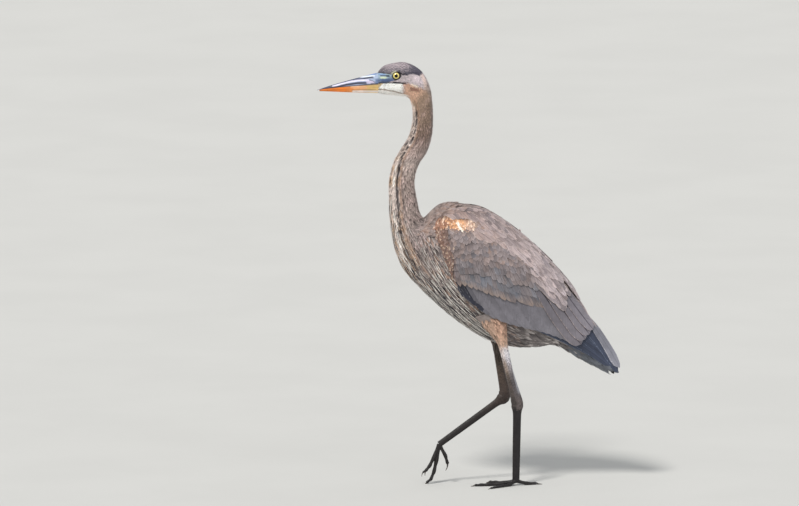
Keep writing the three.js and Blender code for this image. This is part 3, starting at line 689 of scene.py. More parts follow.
# ---- Materials ----------------------------------------------------------------------------
class Shade:
    """A node material: a Principled shader and short ways to wire nodes into it."""

    def __init__(self, name, **fixed):
        self.material = bpy.data.materials.new(name)
        self.material.use_nodes = True
        self.tree = self.material.node_tree
        self.shader = self.tree.nodes["Principled BSDF"]
        for key, value in fixed.items():
            self.shader.inputs[key.replace("_", " ")].default_value = value

    def node(self, kind, inputs=None, **settings):
        made = self.tree.nodes.new("ShaderNode" + kind)
        for key, value in settings.items():
            setattr(made, key, value)
        for key, value in (inputs or {}).items():
            if isinstance(value, bpy.types.NodeSocket):
                self.tree.links.new(value, made.inputs[key])
            else:
                made.inputs[key].default_value = value
        return made

    def math(self, operation, a, b=0.0):
        return self.node("Math", {0: a, 1: b}, operation=operation).outputs[0]

    def times(self, a, b):
        return self.math("MULTIPLY", a, b)

    def plus(self, a, b):
        return self.math("ADD", a, b)

    def less(self, a, b):
        return self.math("SUBTRACT", a, b)

    def mix(self, factor, a, b):
        return self.node("Mix", {0: factor, 6: a, 7: b}, data_type="RGBA").outputs[2]

    def attribute(self, name):
        return self.node("Attribute", attribute_name=name)

    def channels(self, attribute):
        return self.node("SeparateColor", {0: attribute.outputs["Color"]}).outputs

    def step(self, value, low, high, to_low=0.0, to_high=1.0):
        return self.node("MapRange", {0: value, 1: low, 2: high, 3: to_low, 4: to_high},
                         interpolation_type="SMOOTHSTEP").outputs[0]

    def place(self, scale=(1.0, 1.0, 1.0), of=None):
        """The place on the object, or what of gives, stretched by scale."""
        source = of or self.node("TexCoord").outputs["Object"]
        return self.node("Mapping", {"Vector": source, "Scale": scale}).outputs[0]

    def noise(self, scale, detail, vector):
        return self.node("TexNoise", {"Scale": scale, "Detail": detail, "Vector": vector}).outputs[0]

    def noise_along(self, scale, detail, w):
        inputs = {"Scale": scale, "Detail": detail, "W": w}
        return self.node("TexNoise", inputs, noise_dimensions="1D").outputs[0]

    def cracks(self, vector, scale, width):
        """1 along the edges of cells, falling to 0 over width."""
        inputs = {"Vector": vector, "Scale": scale}
        edge = self.node("TexVoronoi", inputs, feature="DISTANCE_TO_EDGE").outputs[0]
        return self.step(edge, 0.0, width, 1.0, 0.0)

    def link(self, key, value):
        self.tree.links.new(value, self.shader.inputs[key])

    def colour(self, colour, tone):
        """Makes the base colour the colour times the tone."""
        scaled = self.node("VectorMath", {0: colour, "Scale": tone}, operation="SCALE")
        self.link("Base Color", scaled.outputs[0])

    def bump(self, height, strength, distance):
        inputs = {"Height": height, "Strength": strength, "Distance": distance}
        self.link("Normal", self.node("Bump", inputs).outputs[0])


BARB, BARB_SLANT = 0.9 * MM, 1.3  # spacing of the barbs that show, and their rise for each step out


def feather_material(name, roughness=0.62, bump=0.35, contrast=0.22, depth=0.4):
    """Vanes: barbs slant out from the shaft, a rim and a shaft streak where the marking has them, and painted
    shade at the root.
    """
    shade = Shade(name, Roughness=roughness, Specular_IOR_Level=0.25, Sheen_Weight=0.12, Sheen_Roughness=0.5)
    col, rim, shaft, pattern = (shade.attribute(key) for key in ("Col", "Rim", "Shaft", "Pattern"))
    rim_at, shaft_at, long = shade.channels(pattern)
    vane = shade.node("SeparateXYZ", {0: shade.node("UVMap", uv_map="Vane").outputs[0]}).outputs
    across = shade.times(shade.math("ABSOLUTE", shade.less(vane[0], 0.5)), 2.0)
    length = shade.times(long, LENGTH_UNIT)
    half = shade.times(pattern.outputs["Alpha"], HALF_UNIT)
    along = shade.times(vane[1], length)
    # The barbs' own noise: fine lines and broader clumps, different on every feather.
    slant = shade.less(along, shade.times(shade.times(across, half), BARB_SLANT))
    place = shade.plus(shade.math("DIVIDE", slant, BARB), shade.times(col.outputs["Alpha"], 900.0))
    clump = shade.noise_along(0.16, 1.0, place)
    grain = shade.plus(shade.times(shade.noise_along(1.0, 2.0, place), 0.6), shade.times(clump, 0.4))
    # Rim, shaft streak and marked point.
    to_tip = shade.math("DIVIDE", shade.less(length, along), shade.math("MAXIMUM", half, 1e-4))
    edge = shade.math("MAXIMUM", across, shade.less(1.0, to_tip))
    edge = shade.plus(edge, shade.times(shade.less(clump, 0.5), 0.1))
    rim_mask = shade.step(shade.less(edge, rim_at), 0.0, 0.1)
    shaft_mask = shade.step(shade.less(shaft_at, across), -0.04, 0.06)
    shaft_mask = shade.times(shaft_mask, shade.step(shaft_at, 0.0, 0.01))
    tip_mask = shade.times(shade.step(vane[1], 0.62, 0.97), rim.outputs["Alpha"])
    colour = shade.mix(tip_mask, col.outputs["Color"], rim.outputs["Color"])
    colour = shade.mix(rim_mask, colour, rim.outputs["Color"])
    colour = shade.mix(shaft_mask, colour, shaft.outputs["Color"])
    tone = shade.step(grain, 0.25, 0.75, 1 - contrast, 1 + contrast)
    mottle = shade.step(shade.noise(60.0, 3.0, shade.place()), 0.3, 0.7, 0.9, 1.1)
    # Painted shade: each vane is darker towards its root, where the vane above would shade it, with a little
    # painted light towards its tip. depth sets how strong this is.
    painted_root_shade = shade.step(vane[1], 0.35, 0.95, 1 - depth, 1 + 0.3 * depth)
    shade.colour(colour, shade.times(shade.times(tone, mottle), painted_root_shade))
    shade.link("Roughness", shade.step(grain, 0.2, 0.8, roughness - 0.08, roughness + 0.1))
    shade.bump(grain, bump, 0.3 * MM)
    return shade.material


def skin_material():
    """Bare skin of the legs, toes, lids and lores, and what little shows between the feathers."""
    shade = Shade("skin_horny", Roughness=0.5, Specular_IOR_Level=0.4)
    place = shade.place()
    scaly, fine, _ = shade.channels(shade.attribute("Bare"))
    groove = shade.times(shade.cracks(shade.place((1.0, 1.0, 0.62)), 330.0, 0.16), scaly)
    wrinkle = shade.times(shade.cracks(place, 900.0, 0.2), fine)
    dark = shade.plus(shade.times(groove, 0.35), shade.times(wrinkle, 0.22))
    mottle = shade.step(shade.noise(90.0, 4.0, place), 0.25, 0.75, 0.8, 1.2)
    shade.colour(shade.attribute("Col").outputs["Color"], shade.times(shade.less(1.0, dark), mottle))
    shade.link("Roughness", shade.step(shade.noise(240.0, 2.0, place), 0.3, 0.7, 0.42, 0.62))
    shade.bump(shade.less(shade.noise(500.0, 2.0, place), shade.plus(groove, wrinkle)), 0.5, 0.35 * MM)
    return shade.material


def horn_material(name, roughness, streak):
    """Bill and claws: vertex colours with fine streaks along the growth and slight wear."""
    shade = Shade(name, Roughness=roughness, Coat_Weight=0.12, Coat_Roughness=0.25)
    lines = shade.noise(1.0, 5.0, shade.place(streak))
    blotch = shade.noise(70.0, 3.0, shade.place())
    tone = shade.times(shade.step(lines, 0.3, 0.7, 0.8, 1.2), shade.step(blotch, 0.3, 0.7, 0.9, 1.1))
    shade.colour(shade.attribute("Col").outputs["Color"], tone)
    shade.link("Roughness", shade.step(lines, 0.3, 0.7, roughness - 0.08, roughness + 0.1))
    shade.bump(lines, 0.25, 0.25 * MM)
    return shade.material


def eye_material():
    """Iris rings and pupil by vertex colour, with fine rays, under a clear wet coat."""
    shade = Shade("eye_wet", Roughness=0.35, Specular_IOR_Level=0.1, Coat_Weight=0.6, Coat_Roughness=0.02)
    rays = shade.place((60.0, 2.5, 1.0), shade.node("UVMap", uv_map="Iris").outputs[0])
    fine = shade.step(shade.noise(1.0, 3.0, rays), 0.3, 0.7, 0.78, 1.15)
    shade.colour(shade.attribute("Col").outputs["Color"], fine)
    return shade.material


def floor_material():
    shade = Shade("floor_pale", Roughness=0.9)
    shade.colour((0.62, 0.62, 0.6), shade.step(shade.noise(3.0, 4.0, shade.place()), 0.3, 0.7, 0.97, 1.0))
    return shade.material


SKIN = skin_material()
PLUME = feather_material("plumage")
FLIGHT = feather_material("flight_vanes", roughness=0.5, bump=0.3, contrast=0.14, depth=0.25)

# ---- Skin ---------------------------------------------------------------------------------
BODY_SURFACE = Surface(body_place)


def coat_depth(t):
    """How far the skin lies under the plumage's outer shape, by body section."""
    return MM * np.interp(t, (0, 2, 5, 7, 10, 14, 17, 23, 28), (1.2, 1.6, 2.6, 3.5, 4, 6, 8, 8, 7))


def body_ring(t, count, shrink):
    turn = np.linspace(0, 2 * PI, count, endpoint=False)
    return body_place(np.full(count, float(t)), turn, -shrink * np.ones(count))


def join(objects, name):
    """Joins objects into the first, under a new name."""
    bpy.ops.object.select_all(action="DESELECT")
    for piece in objects:
        piece.select_set(True)
    bpy.context.view_layer.objects.active = objects[0]
    bpy.ops.object.join()
    objects[0].name = name
    return objects[0]


def apply(piece, kind, **settings):
    """Runs one modifier on a piece and keeps the result."""
    modifier = piece.modifiers.new("step", kind)
    for key, value in settings.items():
        setattr(modifier, key, value)
    bpy.ops.object.select_all(action="DESELECT")
    bpy.context.view_layer.objects.active = piece
    piece.select_set(True)
    bpy.ops.object.modifier_apply(modifier=modifier.name)


def combine(piece, other, operation):
    apply(piece, "BOOLEAN", operation=operation, solver="MANIFOLD", object=other)
    bpy.data.objects.remove(other, do_unlink=True)


def along(table, spacing):
    """Places in stations so that the rings of a limb lie evenly, spacing apart."""
    t = np.linspace(0, len(table) - 1, 2000)
    arc = arc_length(between(table, t)[:, :3])
    at = np.linspace(0, arc[-1], int(arc[-1] / spacing) + 1)
    return np.interp(at, arc, t), at


def plates(arc, pitch, turn, spread):
    """Overlapping plates down the front of a limb: 0 in the grooves, 1 on the plates."""
    saw = np.abs(((arc / pitch) % 1) * 2 - 1) ** 5
    return (1 - saw)[:, None] * (np.abs(turn) < spread)[None]


def leg_loft(name, spacing=0.9 * MM, count=26):
    """A leg's skin: plates down the front, a knobbly joint, and the part under feathers set in."""
    t, arc = along(leg_stations(name), spacing)
    turn = np.linspace(-PI, PI, count, endpoint=False)
    bare = ss(3.2, 4.0, t)
    height = 0.35 * MM * plates(arc, 4.4 * MM, turn, 0.95) * bare[:, None]
    inset = -2.5 * MM * (1 - bare)[:, None]
    knobs = 0.5 * MM * np.sin(arc / MM * 1.9)[:, None] * np.cos(turn * 5)[None]
    knee = knobs * (np.exp(-((t - 7.5) / 0.8) ** 2))[:, None]
    off = (height + inset + knee - 0.15 * MM).ravel()
    rings = limb_place(leg_stations(name))(np.repeat(t, count), np.tile(turn, len(t)), off)
    return loft("leg_" + name, rings.reshape(len(t), count, 3))


CLAW_SIDES, EYE_SIDES = 16, 64


def toe_chain(name, number):
    """Points down the middle of a toe with the half thickness at each, and its level heading."""
    length, claw, thick, bones = TOES[number]
    side = SIDES[name]
    turn = math.radians(SPLAYS[name][number])
    heading = np.array([-math.cos(turn), -side * math.sin(turn), 0.0])
    x, y, z = FOOT[name]
    point = np.array([x, side * y, z], float)
    rows = [(*point, thick * 1.06)]
    drop = 0.0
    for k, share in enumerate(bones):
        drop = math.radians(DROPS[name][number][k])
        step = heading * math.cos(drop) - np.array([0, 0, math.sin(drop)])
        size = thick * (1 - 0.1 * (k + 1))
        for f in (0.5, 1.0):
            at = point + step * share * length * f
            at[2] = max(at[2], 0.78 * size)
            rows.append((*at, size * (1.06 if f == 1 else 0.9)))
        point = point + step * share * length
        point[2] = max(point[2], 0.78 * size)
    return MM * np.array(rows), heading, drop, MM * claw


def chain_rings(table, heading, count, spacing, detail=0.0):
    """Rings round a chain of points that stays in the upright plane of its heading."""
    t, arc = along(table, spacing)
    here = between(table, t)
    way = unit(np.gradient(here[:, :3], axis=0))
    across = np.cross([0, 0, 1.0], heading)
    up = np.cross(way, across)
    up *= np.sign(dot(up, np.array([0, 0, 1.0]) + heading * 0.3))[:, None]
    turn = np.linspace(-PI, PI, count, endpoint=False)
    size = here[:, 3][:, None] + detail * (plates(arc, 3.6 * MM, turn, 1.1) - 0.5)
    rings = here[:, None, :3] + across[None, None] * (size * np.sin(turn))[..., None] \
        + up[:, None] * (size * np.cos(turn))[..., None]
    rings[..., 2] = np.maximum(rings[..., 2], 0.0)
    return rings


def toe_loft(name, number):
    table, heading, _, _ = toe_chain(name, number)
    rings = chain_rings(table, heading, 18, 0.9 * MM, 0.3 * MM)
    centre = rings[-1].mean(0)
    way = unit(rings[-1].mean(0) - rings[-2].mean(0))
    for share in (0.5, 0.8, 0.96):
        shrunk = (rings[-1] - centre) * math.sqrt(1 - share * share)
        cap = centre + shrunk + way * share * table[-1, 3] * 0.7
        cap[:, 2] = np.maximum(cap[:, 2], 0.0)
        rings = np.concatenate([rings, cap[None]])
    return loft(f"toe_{name}_{number}", rings)


def claw_piece(name, number, material):
    """A claw that starts inside the toe's end, curves down and tapers, paler at its tip."""
    table, heading, drop, claw = toe_chain(name, number)
    start = table[-1]
    rows = []
    for f in np.linspace(0, 1, 9):
        dip = drop + 0.5 * f
        reach = (claw + 3 * MM) * f - 3 * MM
        point = start[:3] + heading * reach * math.cos(dip)
        point[2] += 0.8 * MM - reach * math.sin(dip)
        thick = start[3] * (0.62 - 0.5 * f ** 1.15)
        point[2] = max(point[2], 0.85 * thick)
        rows.append((*point, thick))
    rings = chain_rings(np.array(rows), heading, CLAW_SIDES, 0.6 * MM)
    pale = np.concatenate([np.repeat(np.linspace(0, 0.7, len(rings)), CLAW_SIDES), [0, 0.7]])
    colour = mix(srgb(34, 31, 31), srgb(92, 82, 72), pale)
    piece = loft(f"horn_{name}_{number}", rings, {"Col": colour})
    piece.data.materials.append(material)
    finish_piece(piece, "claw_horn", f"claw_{name}_{number}")


def eye_axis(side):
    return unit(np.array([-0.10, side, 0.03]))


def eye_centre(side):
    return np.array([EYE["x"], side * EYE["y"], EYE["z"]])


def ball(side, radius, polars, count, bulge=0.0):
    """Rings of a ball round the eye's axis, at the polar angles given, from the front to the back."""
    axis = eye_axis(side)
    level, up = square_to(axis)
    turn = np.linspace(0, 2 * PI, count, endpoint=False)
    size = radius + bulge * np.exp(-(np.degrees(polars) / 22) ** 2)
    spoke = (level * np.cos(turn)[:, None] + up * np.sin(turn)[:, None])[None]
    return eye_centre(side) + (size * np.cos(polars))[:, None, None] * axis \
        + (size * np.sin(polars))[:, None, None] * spoke


def refine_face(skin):
    """Smaller faces where the bare skin in front of the eye carries fine markings."""
    mesh = bmesh.new()
    mesh.from_mesh(skin.data)
    box = {side: MM * place for side, place in FINE_BOX.items()}
    edges = set()
    for face in mesh.faces:
        x, _, z = face.calc_center_median()
        if box["front"] < x < box["rear"] and box["low"] < z < box["high"]:
            edges.update(face.edges)
    bmesh.ops.subdivide_edges(mesh, edges=list(edges), cuts=2, use_grid_fill=True)
    mesh.to_mesh(skin.data)
    mesh.free()


def wing_pad(name, side):
    """Padding under the folded wing, so that no gap shows between its feathers."""
    t = np.linspace(0.4, 7.4, 50)
    grid_t, grid_q = np.meshgrid(t, np.linspace(0.06, 0.86, 30), indexing="ij")
    thin = MM * np.interp(t, (0.4, 2, 6, 7.6), (8, 10, 10, 8))[:, None] * np.ones_like(grid_q)
    outer = wing_place(side)(grid_t.ravel(), grid_q.ravel(), -thin.ravel()).reshape(*grid_t.shape, 3)
    inner = outer.copy()
    inner[..., 1] = side * np.maximum(np.abs(outer[..., 1]) - 0.75 * MM * between(WING, t)[:, 7:8] / MM, MM)
    return loft("pad_" + name, np.concatenate([outer, inner[:, ::-1]], 1))


def thigh_core(name, rings=40, count=40):
    """The flesh of the thigh, set in deepest where it leaves the belly."""
    t = np.repeat(np.linspace(0, 3, rings), count)
    turn = np.tile(np.linspace(-PI, PI, count, endpoint=False), rings)
    shrink = MM * (3 + 12 * (1 - ss(0, 0.6, t)))
    place = limb_place(leg_stations(name)[:4])
    return loft("thigh_" + name, place(t, turn, -shrink).reshape(rings, count, 3))


def make_skin():
    """One skin: body, wing pads and thighs melted together, then sockets cut and lids, legs, toes joined."""
    body = [body_ring(t, 72, coat_depth(t)) for t in np.linspace(0, TAIL_TIP, 190)]
    parts = [loft("skin", np.array(body))]
    for name, side in SIDES.items():
        parts += [wing_pad(name, side), thigh_core(name)]
    skin = join(parts, "skin")
    apply(skin, "REMESH", mode="VOXEL", voxel_size=2.2 * MM)
    apply(skin, "SMOOTH", factor=0.5, iterations=2)
    for name, side in SIDES.items():
        socket = ball(side, EYE["radius"] + 0.25 * MM, np.linspace(0.05, PI - 0.05, 24), 40)
        combine(skin, loft("socket", socket), "DIFFERENCE")
        combine(skin, lid_ring(side), "UNION")
        combine(skin, leg_loft(name), "UNION")
        for number in TOES:
            combine(skin, toe_loft(name, number), "UNION")
    refine_face(skin)
    faces = len(skin.data.polygons)
    skin.data.polygons.foreach_set("use_smooth", np.ones(faces, bool))
    skin.data.materials.clear()
    skin.data.materials.append(SKIN)
    skin.data.polygons.foreach_set("material_index", np.zeros(faces, np.int32))
    paint_skin(skin)
    finish_piece(skin, "leg_skin", "head", "neck_upper", "neck_middle", "neck_lower", "trunk",
                 *(f"{part}_{name}" for part in ("thigh", "shank", "tarsus", "foot") for name in SIDES))


LID_RADIUS, LID_DEPTH, LID_TUBE = 8.0 * MM, 5.4 * MM, 0.95 * MM


def lid_ring(side, count=72, sides=12):
    """The bare rim round the eye, a little drawn out towards the front and rear corners."""
    axis = eye_axis(side)
    level, up = square_to(axis)
    turn = np.linspace(0, 2 * PI, count, endpoint=False)
    tube = np.linspace(0, 2 * PI, sides, endpoint=False)
    radius = LID_RADIUS * (1 + 0.05 * np.cos(2 * turn) - 0.03 * np.sin(turn))
    spoke = level * np.cos(turn)[:, None] + up * np.sin(turn)[:, None]
    size = LID_TUBE * (1 + 0.12 * np.sin(turn * 9))
    out = (radius[:, None] + size[:, None] * np.cos(tube))[..., None]
    rings = eye_centre(side) + axis * LID_DEPTH + spoke[:, None] * out \
        + axis * (size[:, None] * np.sin(tube))[..., None]
    i, j = np.meshgrid(np.arange(count), np.arange(sides), indexing="ij")
    after_i, after_j = (i + 1) % count, (j + 1) % sides
    quads = np.stack([i * sides + j, i * sides + after_j, after_i * sides + after_j, after_i * sides + j], -1)
    return outward(make_mesh("lid", rings.reshape(-1, 3), quads))


def paint_skin(skin):
    """Gives the skin the plumage's own markings, by the nearest place on the body's shape."""
    t, turn = np.meshgrid(np.linspace(0, TAIL_TIP, 340), np.linspace(-PI, PI, 90), indexing="ij")
    t, turn = t.ravel(), turn.ravel()
    places = body_place(t, turn, -coat_depth(t))
    tree = KDTree(len(places))
    for k, place in enumerate(places):
        tree.insert(place, k)
    tree.balance()
    points = np.empty(len(skin.data.vertices) * 3, np.float32)
    skin.data.vertices.foreach_get("co", points)
    points = points.reshape(-1, 3).astype(float)
    nearest = np.array([tree.find(point)[1] for point in points])
    x, z = side_view(points)
    leg = (1 - ss(0.33, 0.40, points[:, 2])) * (1 - ss(0.14, 0.17, points[:, 0]))
    colour = mix(body_paint(t[nearest], turn[nearest], points), leg_paint(points), leg)
    rim = (1 - ss(9.2, 10.2, from_eye(x, z))) * (np.abs(points[:, 1]) > 0.006)
    colour = mix(colour, srgb(40, 36, 32), rim)
    scaly = leg * (1 - ss(0.30, 0.34, points[:, 2]))
    fine = np.maximum(lore(x, z) * (z > 900), rim)
    add_colours(skin.data, {"Col": colour, "Bare": np.stack([scaly, fine, 0 * x], -1)})

# ---- Bill and eyes ------------------------------------------------------------------------
def bill_lines(s):
    """Heights of the culmen, the gape and the keel, and the half width, by share from the tip."""
    s = np.asarray(s, float)
    return (BILL["z"] + 38 * MM * s ** 0.86, BILL["z"] + 13.5 * MM * s ** 0.64,
            BILL["z"] - MM * (1.5 + 1.5 * np.sin(PI * s) + 6.5 * s ** 1.6), MM * (1 + 8.3 * s ** 0.85))


def bump_at(h, place, width):
    """1 along the bill's side at a height share, falling to 0 over width."""
    return np.exp(-((h - place) / width) ** 2)[None]


def bill_paint(upper, sh, hh, x, z, slit):
    """Colours by share from the tip, share of the height away from the gape, and place in mm."""
    if upper:
        c = ramp([(0, 88, 86, 100), (0.2, 118, 120, 140), (0.5, 150, 158, 184), (0.8, 160, 172, 200),
                  (1, 160, 178, 204)], sh)
        c = mix(c, srgb(92, 94, 110), 0.7 * ss(0.86, 0.97, hh) * (1 - 0.5 * ss(0.75, 1.0, sh)))
        c = strokes(c, x, z, BILL_STROKES)
        c = mix(c, srgb(84, 102, 142), 0.85 * ss(0.945, 0.985, sh) * (1 - ss(926, 929.5, z)))
        # Painted shade inside the nostril slit.
        c = mix(c, srgb(28, 26, 30), np.clip(1.3 * slit, 0, 1))
    else:
        c = ramp([(0, 190, 110, 56), (0.12, 230, 124, 40), (0.45, 238, 130, 40), (0.6, 238, 156, 90),
                  (0.78, 236, 176, 120), (0.86, 220, 184, 116), (1, 214, 180, 118)], sh)
        c = strokes(c, x, z, JAW_STROKES)
    # Painted shade: both halves are darker along the seam where they meet.
    c = mix(c, srgb(52, 44, 42), 0.8 * (1 - ss(0.0, 0.07, hh)))
    return np.concatenate([c, c[:1], c[-1:]])


def make_bill(upper, material, rings=120, count=44):
    """One half of the bill, with its groove, nostril slit and the lip along the gape."""
    tip = BILL["tip"] + (0 if upper else 6 * MM)
    x = tip + (BILL["base"] + 2.5 * MM - tip) * np.linspace(0, 1, rings) ** 1.15
    s = np.clip((x - BILL["tip"]) / (BILL["base"] - BILL["tip"]), 0.0005, 1.02)
    culmen, gape, keel, half = bill_lines(s)
    sign = 1 if upper else -1
    meet = gape + sign * 0.12 * MM
    tall = np.maximum(0.5 * MM, np.abs((culmen if upper else keel) - meet))
    turn = np.linspace(0, PI, count)
    h = np.sin(turn) ** 0.8
    across = np.sign(np.cos(turn)) * np.abs(np.cos(turn)) ** 1.25
    y = half[:, None] * across[None]
    z = meet[:, None] + sign * tall[:, None] * h[None]
    if upper:
        groove = bump_at(h, 0.70, 0.11) * (ss(0.38, 0.62, s) * (1 - 0.3 * ss(0.95, 1, s)))[:, None]
        slit = bump_at(h, 0.73, 0.045) * (ss(0.76, 0.80, s) * (1 - ss(0.91, 0.94, s)))[:, None]
        y = y - np.sign(y) * np.minimum(0.6 * np.abs(y), MM * (0.75 * groove + 1.1 * slit))
        lip = bump_at(h, 0, 0.06) * (0.25 * MM * ss(0.05, 0.3, s))[:, None]
    else:
        groove = bump_at(h, 0.45, 0.16) * ss(0.5, 0.9, s)[:, None]
        slit = 0 * groove
        y = y - np.sign(y) * 0.35 * MM * groove
        lip = bump_at(h, 0, 0.08) * (0.15 * MM * ss(0.05, 0.3, s))[:, None]
    points = np.stack([np.repeat(x[:, None], count, 1), y + np.sign(y) * lip, z], -1)
    sh, hh = np.repeat(s[:, None], count, 1).ravel(), np.repeat(h[None], rings, 0).ravel()
    colour = bill_paint(upper, sh, hh, *side_view(points.reshape(-1, 3)), slit.ravel())
    part = "upper" if upper else "lower"
    piece = loft("bill_horn_" + part, points, {"Col": colour})
    piece.data.materials.append(material)
    finish_piece(piece, f"bill_{part}_horn", "bill_" + part)


def make_eye(name, side, material):
    """An eyeball whose rings carry the pupil, the iris and the dark rim."""
    edges = np.radians([0.5, 6, 12, 18, 21.5, 22.8, 24, 26, 29, 33, 38, 43, 46, 47.5, 49, 52, 60, 75, 95, 120,
                        150, 175])
    tones = ramp([(0, 6, 6, 8), (21.8, 6, 6, 8), (23, 120, 92, 40), (25, 226, 204, 96), (31, 242, 228, 142),
                  (41, 240, 224, 136), (46.2, 196, 172, 90), (47.8, 40, 36, 30), (180, 30, 28, 26)],
                 np.degrees(edges))
    colour = np.concatenate([np.repeat(tones, EYE_SIDES, 0), tones[:1], tones[-1:]])
    u = np.concatenate([np.tile(np.arange(EYE_SIDES) / EYE_SIDES, len(edges)), [0, 0]])
    v = np.concatenate([np.repeat(edges / PI, EYE_SIDES), [0, 1]])
    rings = ball(side, EYE["radius"], edges, EYE_SIDES, bulge=0.35 * MM)
    piece = loft("eyeball_" + name, rings, {"Col": colour}, {"Iris": np.stack([u, v], -1)})
    piece.data.materials.append(material)
    finish_piece(piece, "eye", "eye_" + name)

# ---- Plumage of the head, neck and body -----------------------------------------------------
def lie_back(droop=0.0):
    """The lie along the body, towards the tail, sinking towards the ground by droop."""
    def lie(a, b, pa):
        way = unit(pa)
        return way + droop * np.array([0, 0, -1.0])
    return lie


def lie_fall(a, b, pa):
    """Along the neck, then down the breast and back along the belly, ever more level."""
    z = body_place(a, b)[:, 2] / MM
    angle = np.radians(np.interp(z, (305, 320, 340, 366, 400, 450, 500, 550, 600, 650),
                                 (0, 12, 25, 34, 40, 47, 55, 63, 73, 84)))
    fall = np.stack([np.cos(angle), 0 * angle, -np.sin(angle)], -1)
    return mix(unit(pa), fall, ss(12.3, 14.3, a))


def chart(first, last):
    return lambda t, turn: ((turn / (2 * PI) + 0.5) % 1.0, (t - first) / (last - first))


def jitter(n, amount=0.12):
    """n factors about 1, spread by amount."""
    return np.clip(rng.normal(1, amount, n), 0.6, 1.5)


def varied(size, n, amount=0.12):
    """n sizes in metres about size millimetres."""
    return MM * size * jitter(n, amount)


def feathered(t, turn, p):
    """True where the head has feathers: not round the eye or on the lores."""
    x, z = side_view(p)
    eye = from_eye(x, z, 0.95)
    return (lore(x + 1.0, z) < 0.35) & (eye > 8.6) & ~((x < -165) & (eye < 10.5))


def head_coat():
    coat = Coat("coat_head", chart(-0.5, 7))
    for start, end, gap, across in ((0.02, 2.2, 1.5, 1.0), (2.2, 4.4, 2.2, 1.35), (4.4, 6.6, 3.0, 1.7)):
        t, turn = body_rows(BODY_SURFACE, start, end, gap, across, 0.55, feathered)
        n = len(t)
        x, z = side_view(body_place(t, turn))
        crown = ss(-2, 3, z - line(CROWN_LINE, x))
        grown = np.interp(t, (0, 1, 2, 4, 6.6), (3.2, 4.6, 5.6, 8.5, 11))
        size = grown * (1 + 0.35 * crown) * ss(4, 15, from_eye(x, z)).clip(0.5)
        pale = (1 - ss(917, 921, z)) * (1 - ss(-150, -140, x))
        coat.add(BODY_SURFACE, t, turn, MM * size * (1 + 0.3 * pale) * jitter(n),
                 varied(0.5 + 0.07 * size + 0.3 * pale, n), lie_back(0.15), body_paint, outline=POINTED,
                 low=-coat_depth(t) - 0.3 * MM, high=MM * (0.15 + 0.25 * rng.random(n)),
                 camber=0.25 - 0.15 * pale, spread=0.13, tone=0.10 - 0.06 * pale)
    coat.build(PLUME, "head_feathers")


def neck_coat(name, *zones):
    """Small pointed feathers of the neck; zones give sections, spacings and sizes."""
    coat = Coat(name, chart(zones[0][0], zones[-1][1]))
    for start, end, gap, across, long, wide in zones:
        t, turn = body_rows(BODY_SURFACE, start, end, gap, across, 0.6)
        n = len(t)
        front = front_angle(turn)
        pale = rng.random(n) < 0.10 + 0.3 * ss(14, 15, t)
        cloud = np.sin(t * 5 + 2 * turn) * np.sin(t * 2.1 - 3 * turn) + 0.6 * rng.normal(0, 1, n)
        cloud = cloud * ss(50, 90, front)
        blush = 0.3 * ss(0, 1.2, cloud)
        coat.add(BODY_SURFACE, t, turn, varied(long, n, 0.18), varied(wide, n, 0.15), lie_fall,
                 lambda a, b, p: mix(body_paint(a, b, p), BLUSH, blush) * (1 + 0.14 * cloud)[:, None],
                 rim=lambda c: c * 1.12, shaft=lambda c: np.minimum(1, c * 1.9), outline=POINTED,
                 shaft_at=0.3 * pale * (front > 50), low=-coat_depth(t) - 0.5 * MM,
                 high=MM * (0.3 + 0.9 * rng.random(n)), camber=0.2, spread=0.10, tone=0.12)
    coat.build(PLUME, "neck_feathers")


def plume_coat():
    """Long narrow plumes of the lower neck and breast: grey-brown, with white and dark streamers."""
    coat = Coat("coat_plumes", chart(12, 21))

    def roots(start, end, gap, across, reach):
        return body_rows(BODY_SURFACE, start, end, gap, across, 0.6,
                         lambda t, turn, p: front_angle(turn) < reach - 6 * rng.random(len(t)))

    for start, end, gap, across, long, wide, high in ((12.4, 14.4, 7, 3.6, 30, 1.9, 0.8),
                                                      (14.0, 16.4, 9, 4.6, 44, 2.5, 1.6)):
        t, turn = roots(start, end, gap, across, 80)
        n = len(t)
        chance = rng.random(n)
        base = body_paint(t, turn, body_place(t, turn))
        base = mix(mix(base, DARK_PLUME, 0.25 * (chance < 0.25)), TAN, 0.3 * (chance > 0.88))
        coat.add(BODY_SURFACE, t, turn, varied(long, n, 0.2), varied(wide, n, 0.2), lie_fall, base,
                 rim=lambda c: c * 0.85, shaft=CREAM, shaft_at=np.where(chance > 0.75, 0.16, 0.0),
                 outline=POINTED, rows=PLUME_ROWS, high=high * MM * jitter(n), camber=0.12, spread=0.06,
                 tone=0.14)
    # Streamers: their colour, how many start where, their size and how far they stand off.
    for tone_at, start, end, gap, across, reach, long, wide, high in (
            (DARK_PLUME, 13.2, 17.8, 30, 20, 70, 36, 1.0, 1.7), (TAN, 13.2, 17.0, 30, 20, 64, 30, 1.1, 1.8),
            (CREAM, 13.4, 17.8, 22, 14, 98, 50, 0.5, 2.1), (CREAM, 12.4, 19.4, 18, 9, 50, 66, 0.9, 2.4),
            (DARK_PLUME, 12.4, 19.6, 18, 8, 54, 58, 1.4, 2.0), (CREAM, 16.4, 19.8, 16, 10, 76, 50, 0.8, 2.2)):
        t, turn = roots(start, end, gap, across, reach)
        n = len(t)
        coat.add(BODY_SURFACE, t, turn, varied(long, n, 0.22), varied(wide, n, 0.25), lie_fall, tone_at,
                 rim=lambda c: c * 0.9, outline=STREAMER, rows=STREAMER_ROWS, high=high * MM * jitter(n, 0.2),
                 camber=0.3, spread=0.05, tone=0.10)
    coat.build(PLUME, "neck_feathers")


